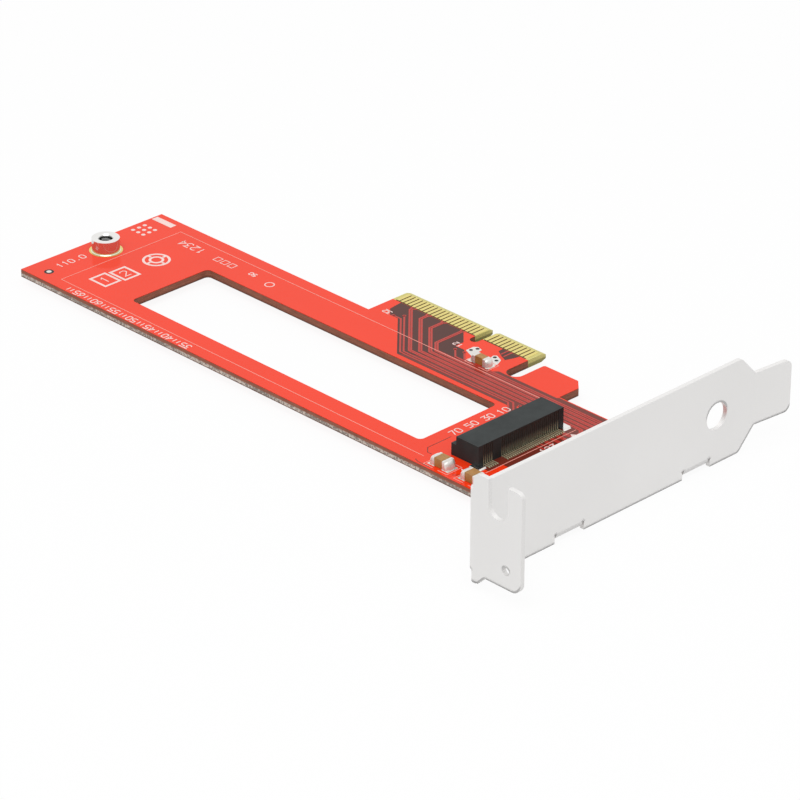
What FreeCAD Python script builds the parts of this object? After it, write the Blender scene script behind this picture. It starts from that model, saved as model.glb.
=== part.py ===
import FreeCAD, Part
import os
import Sketcher

# An adapter card for an expansion slot: a circuit board with a card edge, a metal slot bracket,
# and a socket and a standoff that hold a long storage module over the cut-out in the board.
# Millimetres. The origin is the centre of the key notch, on the tip line of the card edge, in the
# middle of the board's thickness. X runs from the bracket to the far end of the board, Y runs away
# from the slot, and Z is up from the component side.

# Driving sizes: alias, value, what it measures.
SIZES = [
    ("board_thickness", 1.57, "circuit board thickness"),
    ("board_end_margin", 4.8, "standoff to the far end of the board"),
    ("board_near_gap", 1.04, "gap between the board and the bracket"),
    ("board_front_margin", 17.1, "module's centre line to the front edge of the board"),
    ("edge_tongue_length", 11.0, "tip line to the back edge of the board"),
    ("long_edge_width", 21.65, "card edge on the far side of the key"),
    ("short_edge_width", 11.65, "card edge on the bracket side of the key"),
    ("key_width", 1.9, "key notch width"),
    ("key_depth", 6.6, "key notch depth from the tip line"),
    ("tip_bevel_length", 1.1, "length of the lead-in bevel on the card edge"),
    ("tip_bevel_drop", 0.4, "depth of the lead-in bevel on each side"),
    ("side_slot_width", 3.5, "slot between the card edge and the foot"),
    ("side_slot_depth", 11.4, "end of that slot from the tip line"),
    ("foot_width", 10.4, "width of the foot of the board"),
    ("foot_gap", 4.0, "tip line to the end of the foot"),
    ("foot_chamfer", 2.0, "chamfer on the foot's corner"),
    ("foot_round", 0.5, "round on the foot's other corner"),
    ("ear_length", 12.2, "length of the ear that takes the lower bracket screw"),
    ("ear_gap", 5.9, "tip line to the end of the ear"),
    ("cutout_length", 76.8, "length of the cut-out under the module"),
    ("cutout_width", 19.2, "width of the cut-out"),
    ("cutout_near_reach", 20.7, "key centre to the near end of the cut-out"),
    ("cutout_front_margin", 6.3, "board left in front of the cut-out"),
    ("cutout_corner", 1.0, "corner radius of the cut-out"),
    ("contact_pitch", 1.0, "spacing of the edge contacts"),
    ("contact_offset", 1.5, "key centre to the first contact on either side"),
    ("contact_width", 0.7, "width of an edge contact"),
    ("contact_start", 1.2, "tip line to the outer end of a contact"),
    ("contact_end", 4.4, "tip line to the inner end of a contact"),
    ("contact_height", 0.05, "plating height of a contact"),
    ("long_contact_count", 21, "contacts on the far side of the key"),
    ("short_contact_count", 11, "contacts on the bracket side of the key"),
    ("sheet_thickness", 0.86, "bracket sheet"),
    ("bracket_face_reach", 59.05, "key centre to the outer face of the bracket"),
    ("bracket_width", 18.42, "width of the bracket plate"),
    ("bracket_drop", 1.27, "solder side of the board to the lower edge of the bracket"),
    ("bracket_end_reach", 66.4, "tip line to the outer face of the flange"),
    ("shoulder_reach", 0.3, "tip line to the start of the taper"),
    ("taper_length", 3.9, "length of the taper"),
    ("tail_width", 10.19, "width of the bracket's tail"),
    ("tail_length", 8.6, "length of the tail"),
    ("tail_set", 0.85, "outward set of the tail's end"),
    ("tail_corner", 1.4, "corner radius of the tail"),
    ("shoulder_round", 1.2, "radius at the taper's corners"),
    ("bracket_hole_diameter", 5.2, "round hole in the bracket"),
    ("bracket_hole_reach", 5.8, "tip line to the round hole"),
    ("bracket_hole_rise", 9.45, "lower edge of the bracket to the round hole"),
    ("tab_width", 6.35, "width of a fixing tab"),
    ("tab_length", 9.6, "inner face of the bracket to the end of a tab"),
    ("tab_front_margin", 3.85, "front edge of the board to the middle of the front tab"),
    ("tab_back_reach", 10.75, "tip line to the middle of the back tab"),
    ("tab_corner", 1.2, "corner radius of a tab"),
    ("tab_relief_width", 0.4, "bend relief beside a tab"),
    ("tab_relief_height", 1.7, "bend relief height from the lower edge"),
    ("bend_radius", 0.4, "inner radius of the bends"),
    ("flange_depth", 11.5, "outer face of the bracket to the edge of the flange"),
    ("flange_top_rise", 3.24, "top edge of the plate to the top of the flange"),
    ("flange_bottom_rise", 2.8, "lower edge of the plate to the bottom of the flange"),
    ("flange_relief_rise", 3.35, "lower edge of the plate to the end of the flange bend"),
    ("flange_relief_width", 0.25, "gap between the bracket's face and the flange's lobe"),
    ("flange_lobe_width", 1.45, "width of the flange's lower lobe"),
    ("flange_lobe_drop", 1.65, "drop of that lobe below the flange's bottom edge"),
    ("flange_inner_corner", 1.9, "radius of the flange's top corner at the bend"),
    ("flange_top_corner", 1.2, "radius of the flange's outer top corner"),
    ("flange_low_corner", 2.0, "radius of the flange's lower corner"),
    ("screw_slot_width", 4.42, "slot for the case screw"),
    ("screw_slot_reach", 6.13, "outer face of the bracket to the middle of the slot"),
    ("screw_slot_depth", 4.5, "top of the flange to the centre of the slot's round end"),
    ("flange_hole_diameter", 1.5, "small hole in the flange"),
    ("flange_hole_reach", 8.1, "outer face of the bracket to the small hole"),
    ("flange_hole_rise", 6.1, "lower edge of the plate to the small hole"),
    ("screw_inset", 5.3, "inner face of the bracket to the fixing screws"),
    ("screw_thread_diameter", 2.9, "fixing screw thread"),
    ("screw_length", 3.0, "fixing screw length under the head"),
    ("screw_head_diameter", 5.5, "fixing screw head"),
    ("screw_head_height", 1.9, "fixing screw head height"),
    ("screw_head_bevel", 0.7, "bevel round the top of the head"),
    ("recess_span", 2.6, "cross recess span"),
    ("recess_bar", 0.6, "cross recess bar"),
    ("recess_depth", 1.1, "cross recess depth"),
    ("thread_clearance", 0.1, "tapped hole over the plain thread"),
    ("screw_hole_clearance", 0.3, "board hole over the screw"),
    ("module_length", 110.0, "module's edge in the socket to its fixing screw"),
    ("module_thickness", 0.8, "module board thickness"),
    ("module_rise", 2.65, "component side to the underside of the module"),
    ("module_centre_reach", 29.4, "tip line to the module's centre line"),
    ("standoff_diameter", 5.45, "standoff body"),
    ("standoff_bore", 2.5, "standoff tapping bore"),
    ("standoff_chamfer", 0.3, "lead-in of the bore"),
    ("standoff_shank_diameter", 4.0, "standoff shank in the board"),
    ("standoff_shank_depth", 1.4, "depth of the shank"),
    ("shank_clearance", 0.1, "board hole over the shank"),
    ("standoff_pad_diameter", 6.5, "plated ring under the standoff"),
    ("pad_height", 0.05, "plating height of the ring"),
    ("socket_rear_reach", 34.84, "key centre to the back of the socket"),
    ("socket_depth", 5.4, "depth of the socket's top"),
    ("socket_length", 21.3, "length of the socket"),
    ("socket_height", 4.0, "height of the socket"),
    ("lip_reach", 1.2, "lower lip in front of the mouth"),
    ("lip_height", 2.35, "height of the lower lip"),
    ("stop_wall", 0.8, "back wall behind the module's edge"),
    ("mouth_width", 20.05, "width of the mouth"),
    ("mouth_clearance", 0.12, "clearance above and below the module's edge"),
    ("rib_offset", 6.125, "module's centre line to the key rib"),
    ("rib_width", 1.1, "key rib width"),
    ("pin_pitch", 0.5, "spacing of the socket contacts in a row"),
    ("pin_width", 0.2, "width of a socket contact"),
    ("pin_sheet", 0.15, "thickness of a socket contact"),
    ("pin_clearance", 0.05, "clearance of a contact in its groove"),
    ("pin_foot", 1.3, "solder foot outside the housing"),
    ("pin_bump", 0.22, "reach of a contact into the mouth"),
    ("pin_bump_length", 0.9, "length of the contact's crest"),
    ("upper_pin_reach", 1.0, "front of the housing to the upper contacts' ends"),
    ("lower_pin_reach", 1.6, "front of the housing to the lower contacts' springs"),
    ("far_pin_count", 29, "contacts of a row beyond the key"),
    ("upper_near_pin_count", 5, "upper contacts on the near side of the key"),
    ("lower_near_pin_count", 4, "lower contacts on the near side of the key"),
    ("upper_far_pin_offset", 9.25, "module's centre line to the first upper contact"),
    ("upper_near_pin_offset", 7.25, "module's centre line to the first near upper contact"),
    ("lower_far_pin_offset", 9.0, "module's centre line to the first lower contact"),
    ("lower_near_pin_offset", 7.5, "module's centre line to the first near lower contact"),
    ("peg_diameter", 1.1, "locating pegs of the socket"),
    ("peg_length", 1.2, "length of the pegs"),
    ("peg_clearance", 0.1, "board hole over a peg"),
    ("peg_inset", 1.6, "back of the socket to the pegs"),
    ("peg_offset", 9.4, "module's centre line to the pegs"),
    ("hold_down_foot", 0.9, "hold-down foot outside the housing"),
    ("hold_down_length", 2.2, "length of a hold-down"),
    ("hold_down_width", 1.9, "width of a hold-down"),
    ("hold_down_sheet", 0.2, "hold-down thickness"),
    ("hold_down_blade", 1.5, "height of the blade in the housing"),
    ("hold_down_clearance", 0.05, "housing pocket over the hold-down"),
    ("terminal_length", 0.65, "metal end of a capacitor"),
    ("ceramic_inset", 0.06, "ceramic body below the metal ends"),
    ("terminal_bevel", 0.15, "bevel round the top of the metal ends"),
    ("large_capacitor_length", 3.2, "large capacitors"),
    ("large_capacitor_width", 2.3, "large capacitors"),
    ("large_capacitor_height", 1.75, "large capacitors"),
    ("small_capacitor_length", 3.2, "small capacitor"),
    ("small_capacitor_width", 1.6, "small capacitor"),
    ("small_capacitor_height", 1.6, "small capacitor"),
    ("capacitor_1_reach", 30.1, "key centre to the first capacitor"),
    ("capacitor_2_reach", 37.5, "key centre to the second capacitor"),
    ("large_capacitor_margin", 2.5, "front edge of the board to the large capacitors' middle"),
    ("capacitor_3_reach", 7.6, "key centre to the third capacitor"),
    ("capacitor_3_offset", 11.6, "tip line to the third capacitor"),
]

# Places that follow from the sizes: alias, formula.
PLACES = [
    ("board_top", "board_thickness / 2"),
    ("board_bottom", "-board_thickness / 2"),
    ("plate_outer_x", "-bracket_face_reach"),
    ("plate_inner_x", "plate_outer_x + sheet_thickness"),
    ("board_near_x", "plate_inner_x + board_near_gap"),
    ("board_far_x", "standoff_x + board_end_margin"),
    ("board_front_reach", "module_centre_reach + board_front_margin"),
    ("ear_x", "board_near_x + ear_length"),
    ("key_far_x", "key_width / 2"),
    ("key_round_y", "key_depth - key_width / 2"),
    ("long_edge_x", "key_far_x + long_edge_width"),
    ("short_edge_x", "-key_far_x - short_edge_width"),
    ("side_slot_x", "short_edge_x - side_slot_width"),
    ("side_slot_middle_x", "short_edge_x - side_slot_width / 2"),
    ("side_slot_radius", "side_slot_width / 2"),
    ("side_slot_round_y", "side_slot_depth - side_slot_radius"),
    ("foot_near_x", "side_slot_x - foot_width"),
    ("foot_chamfer_x", "foot_near_x + foot_chamfer"),
    ("foot_chamfer_y", "foot_gap + foot_chamfer"),
    ("cutout_near_x", "-cutout_near_reach"),
    ("cutout_far_x", "cutout_near_x + cutout_length"),
    ("cutout_front_y", "board_front_reach - cutout_front_margin"),
    ("cutout_back_y", "cutout_front_y - cutout_width"),
    ("bevel_top", "board_top - tip_bevel_drop"),
    ("bevel_bottom", "board_bottom + tip_bevel_drop"),
    ("long_contact_span", "(long_contact_count - 1) * contact_pitch"),
    ("short_contact_span", "(short_contact_count - 1) * contact_pitch"),
    ("long_contact_x", "contact_offset - contact_width / 2"),
    ("long_contact_end_x", "long_contact_x + contact_width"),
    ("short_contact_x", "-contact_offset - short_contact_span - contact_width / 2"),
    ("short_contact_end_x", "short_contact_x + contact_width"),
    ("plate_low", "board_bottom - bracket_drop"),
    ("plate_high", "plate_low + bracket_width"),
    ("plate_middle", "plate_low + bracket_width / 2"),
    ("tail_low", "plate_middle - tail_width / 2"),
    ("tail_high", "plate_middle + tail_width / 2"),
    ("shoulder_y", "-shoulder_reach"),
    ("tail_start_y", "shoulder_y - taper_length"),
    ("tail_end_y", "tail_start_y - tail_length"),
    ("tail_outer_x", "plate_outer_x - tail_set"),
    ("tail_inner_x", "plate_inner_x - tail_set"),
    ("bracket_hole_z", "plate_low + bracket_hole_rise"),
    ("tab_top", "board_bottom"),
    ("tab_low", "tab_top - sheet_thickness"),
    ("tab_end_x", "plate_inner_x + tab_length"),
    ("tab_reach_x", "tab_end_x - plate_outer_x"),
    ("relief_high", "plate_low + tab_relief_height"),
    ("bend_outer_radius", "bend_radius + sheet_thickness"),
    ("tab_front_reach", "board_front_reach - tab_front_margin"),
    ("front_tab_start_y", "tab_front_reach - tab_width / 2"),
    ("front_tab_end_y", "tab_front_reach + tab_width / 2"),
    ("front_relief_start_y", "front_tab_start_y - tab_relief_width"),
    ("front_relief_end_y", "front_tab_end_y + tab_relief_width"),
    ("back_tab_start_y", "tab_back_reach - tab_width / 2"),
    ("back_tab_end_y", "tab_back_reach + tab_width / 2"),
    ("back_relief_start_y", "back_tab_start_y - tab_relief_width"),
    ("back_relief_end_y", "back_tab_end_y + tab_relief_width"),
    ("flange_inner_y", "bracket_end_reach - sheet_thickness"),
    ("plate_relief_y", "flange_inner_y - bend_radius"),
    ("flange_edge_x", "plate_outer_x - flange_depth"),
    ("flange_high", "plate_high + flange_top_rise"),
    ("flange_low", "plate_low + flange_bottom_rise"),
    ("flange_relief_z", "plate_low + flange_relief_rise"),
    ("flange_lobe_x", "plate_outer_x - flange_relief_width"),
    ("flange_lobe_end_x", "flange_lobe_x - flange_lobe_width"),
    ("flange_lobe_top_x", "flange_lobe_end_x - flange_lobe_drop"),
    ("flange_lobe_low", "flange_low - flange_lobe_drop"),
    ("flange_bend_x", "plate_inner_x - bend_outer_radius"),
    ("screw_slot_middle_x", "plate_outer_x - screw_slot_reach"),
    ("screw_slot_radius", "screw_slot_width / 2"),
    ("screw_slot_near_x", "screw_slot_middle_x + screw_slot_radius"),
    ("screw_slot_far_x", "screw_slot_middle_x - screw_slot_radius"),
    ("screw_slot_round_z", "flange_high - screw_slot_depth"),
    ("flange_hole_x", "plate_outer_x - flange_hole_reach"),
    ("flange_hole_z", "plate_low + flange_hole_rise"),
    ("bracket_hole_radius", "bracket_hole_diameter / 2"),
    ("flange_hole_radius", "flange_hole_diameter / 2"),
    ("screw_x", "plate_inner_x + screw_inset"),
    ("screw_span", "tab_front_reach - tab_back_reach"),
    ("screw_radius", "screw_thread_diameter / 2"),
    ("screw_head_radius", "screw_head_diameter / 2"),
    ("screw_end", "board_top - screw_length"),
    ("screw_head_top", "board_top + screw_head_height"),
    ("screw_shoulder", "screw_head_top - screw_head_bevel"),
    ("screw_crown_radius", "screw_head_radius - screw_head_bevel"),
    ("recess_half", "recess_span / 2"),
    ("recess_bar_half", "recess_bar / 2"),
    ("tapped_radius", "screw_radius + thread_clearance / 2"),
    ("screw_hole_radius", "screw_radius + screw_hole_clearance / 2"),
    ("socket_rear_x", "-socket_rear_reach"),
    ("socket_front_x", "socket_rear_x + socket_depth"),
    ("lip_x", "socket_front_x + lip_reach"),
    ("stop_x", "socket_rear_x + stop_wall"),
    ("mouth_depth", "lip_x - stop_x"),
    ("socket_near_y", "module_centre_reach + socket_length / 2"),
    ("socket_far_y", "module_centre_reach - socket_length / 2"),
    ("socket_top", "board_top + socket_height"),
    ("lip_top", "board_top + lip_height"),
    ("module_low", "board_top + module_rise"),
    ("mouth_low", "module_low - mouth_clearance"),
    ("mouth_high", "module_low + module_thickness + mouth_clearance"),
    ("mouth_near_y", "module_centre_reach + mouth_width / 2"),
    ("mouth_far_y", "module_centre_reach - mouth_width / 2"),
    ("rib_near_y", "module_centre_reach + rib_offset + rib_width / 2"),
    ("rib_far_y", "module_centre_reach + rib_offset - rib_width / 2"),
    ("groove_width", "pin_width + 2 * pin_clearance"),
    ("far_pin_span", "(far_pin_count - 1) * pin_pitch"),
    ("upper_near_pin_span", "(upper_near_pin_count - 1) * pin_pitch"),
    ("lower_near_pin_span", "(lower_near_pin_count - 1) * pin_pitch"),
    ("upper_far_pin_y", "module_centre_reach - upper_far_pin_offset"),
    ("upper_near_pin_y", "module_centre_reach + upper_near_pin_offset"),
    ("lower_far_pin_y", "module_centre_reach - lower_far_pin_offset"),
    ("lower_near_pin_y", "module_centre_reach + lower_near_pin_offset"),
    ("upper_foot_x", "socket_rear_x - pin_foot"),
    ("upper_riser_x", "socket_rear_x + pin_clearance"),
    ("upper_riser_front_x", "upper_riser_x + pin_sheet"),
    ("upper_groove_front_x", "upper_riser_front_x + pin_clearance"),
    ("upper_tip_x", "socket_front_x - upper_pin_reach"),
    ("upper_crest_x", "upper_tip_x - pin_bump_length / 2"),
    ("upper_bend_x", "upper_tip_x - pin_bump_length"),
    ("upper_beam_low", "mouth_high + pin_clearance"),
    ("upper_beam_high", "upper_beam_low + pin_sheet"),
    ("upper_groove_high", "upper_beam_high + pin_clearance"),
    ("upper_groove_end_x", "upper_tip_x + pin_clearance"),
    ("upper_crest_low", "mouth_high - pin_bump"),
    ("upper_crest_high", "upper_crest_low + pin_sheet"),
    ("pin_foot_high", "board_top + pin_sheet"),
    ("lower_foot_x", "lip_x + pin_foot"),
    ("lower_groove_high", "pin_foot_high + pin_clearance"),
    ("lower_riser_front_x", "socket_front_x - lower_pin_reach"),
    ("lower_riser_x", "lower_riser_front_x - pin_sheet"),
    ("lower_groove_rear_x", "lower_riser_x - pin_clearance"),
    ("lower_groove_front_x", "lower_riser_front_x + pin_bump_length"),
    ("lower_crest_x", "lower_riser_front_x + pin_bump_length / 2"),
    ("lower_tip_x", "lower_groove_front_x - pin_clearance"),
    ("lower_bend_low", "mouth_low - pin_bump"),
    ("lower_bend_high", "lower_bend_low + pin_sheet"),
    ("lower_crest_high", "mouth_low + pin_bump"),
    ("lower_crest_low", "lower_crest_high - pin_sheet"),
    ("peg_radius", "peg_diameter / 2"),
    ("peg_hole_radius", "peg_radius + peg_clearance / 2"),
    ("peg_x", "socket_rear_x + peg_inset"),
    ("peg_near_y", "module_centre_reach + peg_offset"),
    ("peg_far_y", "module_centre_reach - peg_offset"),
    ("hold_down_rear_x", "socket_rear_x - hold_down_foot"),
    ("hold_down_front_x", "hold_down_rear_x + hold_down_length"),
    ("hold_down_near_y", "socket_near_y + hold_down_foot"),
    ("hold_down_near_inner_y", "hold_down_near_y - hold_down_width"),
    ("hold_down_far_y", "socket_far_y - hold_down_foot"),
    ("hold_down_far_inner_y", "hold_down_far_y + hold_down_width"),
    ("hold_down_pocket", "hold_down_sheet + hold_down_clearance"),
    ("hold_down_pocket_x", "hold_down_front_x + hold_down_clearance"),
    ("hold_down_pocket_near_y", "hold_down_near_inner_y - hold_down_clearance"),
    ("hold_down_pocket_far_y", "hold_down_far_inner_y + hold_down_clearance"),
    ("blade_rear_x", "socket_rear_x + stop_wall / 2"),
    ("blade_near_y", "hold_down_near_inner_y + hold_down_sheet"),
    ("blade_far_y", "hold_down_far_inner_y - hold_down_sheet"),
    ("blade_slot_depth", "hold_down_blade + hold_down_clearance"),
    ("blade_slot_x", "blade_rear_x - hold_down_clearance"),
    ("blade_slot_near_y", "blade_near_y + hold_down_clearance"),
    ("blade_slot_far_y", "blade_far_y - hold_down_clearance"),
    ("standoff_x", "stop_x + module_length"),
    ("standoff_radius", "standoff_diameter / 2"),
    ("standoff_bore_radius", "standoff_bore / 2"),
    ("standoff_mouth_radius", "standoff_bore_radius + standoff_chamfer"),
    ("standoff_shank_radius", "standoff_shank_diameter / 2"),
    ("standoff_hole_radius", "standoff_shank_radius + shank_clearance / 2"),
    ("standoff_pad_radius", "standoff_pad_diameter / 2"),
    ("standoff_seat", "board_top + pad_height"),
    ("standoff_chamfer_low", "module_low - standoff_chamfer"),
    ("standoff_shank_low", "board_top - standoff_shank_depth"),
    ("capacitor_1_x", "-capacitor_1_reach"),
    ("capacitor_2_x", "-capacitor_2_reach"),
    ("capacitor_3_x", "-capacitor_3_reach"),
    ("large_capacitor_y", "board_front_reach - large_capacitor_margin"),
]

doc = FreeCAD.newDocument("interface_card")
sheet = doc.addObject("Spreadsheet::Sheet", "sizes")
pieces = []


def fill_sheet():
    """Write every size and place into the sheet, each under its alias."""
    rows = [(alias, str(value), note) for alias, value, note in SIZES]
    rows += [(alias, "=" + formula, "") for alias, formula in PLACES]
    for row, (alias, content, note) in enumerate(rows, start=1):
        sheet.set(f"A{row}", note)
        sheet.set(f"B{row}", content)
        sheet.setAlias(f"B{row}", alias)
    doc.recompute()


def value(place):
    """Number behind an alias, behind an alias with a minus sign, or zero."""
    if place == 0:
        return 0.0
    if place.startswith("-"):
        return -float(sheet.get(place[1:]))
    return float(sheet.get(place))


def formula(place):
    """Expression that ties a property to an alias of the sheet."""
    if place.startswith("-"):
        return "-sizes." + place[1:]
    return "sizes." + place


def bind(feature, name, place):
    """Tie one property of a feature to the sheet."""
    feature.setExpression(name, formula(place))


def new_body(label):
    body = doc.addObject("PartDesign::Body", label)
    body.Label = label
    pieces.append(body)
    return body


def origin_feature(body, role):
    """Plane or axis of the body's own origin."""
    for feature in body.Origin.OriginFeatures:
        if feature.Role == role:
            return feature
    raise ValueError(role)


def new_sketch(body, name, role, **offsets):
    """Sketch on an origin plane, moved along the plane's own x, y and z by places of the sheet."""
    sketch = body.newObject("Sketcher::SketchObject", name)
    sketch.AttachmentSupport = [(origin_feature(body, role), "")]
    sketch.MapMode = "FlatFace"
    for axis, place in offsets.items():
        bind(sketch, "AttachmentOffset.Base." + axis, place)
    return sketch


def constrain(sketch, kind, geometry, point, place):
    """Hold one coordinate of a sketch point at a place of the sheet."""
    constraint = Sketcher.Constraint(kind, -1, 1, geometry, point, value(place))
    number = sketch.addConstraint(constraint)
    if place != 0:
        bind(sketch, f"Constraints[{number}]", place)


def draw_outline(sketch, corners):
    """Closed outline of straight lines through corners given as pairs of places."""
    first = sketch.GeometryCount
    count = len(corners)
    points = [FreeCAD.Vector(value(x), value(y), 0) for x, y in corners]
    for index in range(count):
        sketch.addGeometry(Part.LineSegment(points[index], points[(index + 1) % count]), False)
    for index in range(count):
        following = first + (index + 1) % count
        sketch.addConstraint(Sketcher.Constraint("Coincident", first + index, 2, following, 1))
    for index, (x, y) in enumerate(corners):
        constrain(sketch, "DistanceX", first + index, 1, x)
        constrain(sketch, "DistanceY", first + index, 1, y)


def draw_rectangle(sketch, x_low, x_high, y_low, y_high):
    draw_outline(sketch, [(x_low, y_low), (x_high, y_low), (x_high, y_high), (x_low, y_high)])


def draw_circle(sketch, x, y, radius):
    centre = FreeCAD.Vector(value(x), value(y), 0)
    circle = Part.Circle(centre, FreeCAD.Vector(0, 0, 1), value(radius))
    geometry = sketch.addGeometry(circle, False)
    constrain(sketch, "DistanceX", geometry, 3, x)
    constrain(sketch, "DistanceY", geometry, 3, y)
    number = sketch.addConstraint(Sketcher.Constraint("Radius", geometry, value(radius)))
    bind(sketch, f"Constraints[{number}]", radius)


def add_pad(body, name, sketch, length, backwards=False):
    pad = body.newObject("PartDesign::Pad", name)
    pad.Profile = sketch
    pad.Reversed = backwards
    bind(pad, "Length", length)
    body.Tip = pad
    doc.recompute()
    return pad


def add_pocket(body, name, sketch, length=None, backwards=False):
    """Pocket of the given length, or right through both ways where no length is given."""
    doc.recompute()
    volume = body.Shape.Volume
    pocket = body.newObject("PartDesign::Pocket", name)
    pocket.Profile = sketch
    pocket.Reversed = backwards
    if length is None:
        pocket.Type = "ThroughAll"
        pocket.SideType = "Symmetric"
    else:
        bind(pocket, "Length", length)
    body.Tip = pocket
    doc.recompute()
    if not body.Shape.Volume < volume:
        raise ValueError(body.Label + ": " + name + " cuts nothing")
    return pocket


def add_row(body, name, features, role, span, count):
    """Repeat features along an origin axis over a span."""
    row = body.newObject("PartDesign::LinearPattern", name)
    row.Originals = features
    row.Direction = (origin_feature(body, role), [""])
    bind(row, "Length", span)
    bind(row, "Occurrences", count)
    body.Tip = row
    doc.recompute()
    return row


def find_edges(shape, direction, spots):
    """Names of the straight edges along X, Y or Z that pass through spots in the other two axes."""
    along = "xyz".index(direction)
    across = [axis for axis in range(3) if axis != along]
    near = 0.001
    names = []
    for number, edge in enumerate(shape.Edges, start=1):
        ends = [vertex.Point for vertex in edge.Vertexes]
        if len(ends) != 2 or edge.Curve.TypeId != "Part::GeomLine":
            continue
        for spot in spots:
            if all(abs(end[axis] - place) < near for end in ends for axis, place in zip(across, spot)):
                names.append(f"Edge{number}")
    return names


def round_edges(body, name, radius, direction, spots):
    """Fillet the straight edges that run along one axis through the given spots."""
    base = body.Tip
    places = [tuple(value(place) for place in spot) for spot in spots]
    names = find_edges(base.Shape, direction, places)
    if len(names) < len(spots):
        raise ValueError(body.Label + ": " + name + " misses an edge")
    fillet = body.newObject("PartDesign::Fillet", name)
    fillet.Base = (base, names)
    bind(fillet, "Radius", radius)
    body.Tip = fillet
    doc.recompute()
    if fillet.Shape.isNull():
        raise ValueError(body.Label + ": " + name + " failed")


def make_circuit_board():
    body = new_body("circuit_board")
    sketch = new_sketch(body, "board_outline", "XY_Plane", z="board_bottom")
    draw_outline(sketch, [
        ("board_far_x", "board_front_reach"),
        ("board_near_x", "board_front_reach"),
        ("board_near_x", "ear_gap"),
        ("ear_x", "ear_gap"),
        ("ear_x", "edge_tongue_length"),
        ("foot_near_x", "edge_tongue_length"),
        ("foot_near_x", "foot_chamfer_y"),
        ("foot_chamfer_x", "foot_gap"),
        ("side_slot_x", "foot_gap"),
        ("side_slot_x", "side_slot_round_y"),
        ("short_edge_x", "side_slot_round_y"),
        ("short_edge_x", 0),
        ("-key_far_x", 0),
        ("-key_far_x", "key_round_y"),
        ("key_far_x", "key_round_y"),
        ("key_far_x", 0),
        ("long_edge_x", 0),
        ("long_edge_x", "edge_tongue_length"),
        ("board_far_x", "edge_tongue_length"),
    ])
    add_pad(body, "board_sheet", sketch, "board_thickness")

    sketch = new_sketch(body, "board_openings", "XY_Plane")
    draw_rectangle(sketch, "cutout_near_x", "cutout_far_x", "cutout_back_y", "cutout_front_y")
    draw_circle(sketch, 0, "key_round_y", "key_far_x")
    draw_circle(sketch, "side_slot_middle_x", "side_slot_round_y", "side_slot_radius")
    draw_circle(sketch, "screw_x", "tab_front_reach", "screw_hole_radius")
    draw_circle(sketch, "screw_x", "tab_back_reach", "screw_hole_radius")
    draw_circle(sketch, "standoff_x", "module_centre_reach", "standoff_hole_radius")
    draw_circle(sketch, "peg_x", "peg_near_y", "peg_hole_radius")
    draw_circle(sketch, "peg_x", "peg_far_y", "peg_hole_radius")
    add_pocket(body, "board_cuts", sketch)

    sketch = new_sketch(body, "tip_bevels", "YZ_Plane")
    draw_outline(sketch, [(0, "board_top"), ("tip_bevel_length", "board_top"), (0, "bevel_top")])
    draw_outline(sketch, [(0, "board_bottom"), ("tip_bevel_length", "board_bottom"), (0, "bevel_bottom")])
    add_pocket(body, "tip_bevel_cuts", sketch)

    round_edges(body, "cutout_rounds", "cutout_corner", "z", [
        (x, y) for x in ("cutout_near_x", "cutout_far_x") for y in ("cutout_back_y", "cutout_front_y")
    ])
    round_edges(body, "foot_rounding", "foot_round", "z", [("side_slot_x", "foot_gap")])


def make_edge_contacts(label, level, backwards):
    """Both rows of plated contacts on one side of the card edge."""
    body = new_body(label)
    rows = (
        ("long", "long_contact_x", "long_contact_end_x", "long_contact_span", "long_contact_count"),
        ("short", "short_contact_x", "short_contact_end_x", "short_contact_span", "short_contact_count"),
    )
    for name, start, end, span, count in rows:
        sketch = new_sketch(body, name + "_contact_outline", "XY_Plane", z=level)
        draw_rectangle(sketch, start, end, "contact_start", "contact_end")
        contact = add_pad(body, name + "_contact", sketch, "contact_height", backwards)
        add_row(body, name + "_contacts", [contact], "X_Axis", span, count)


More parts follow.
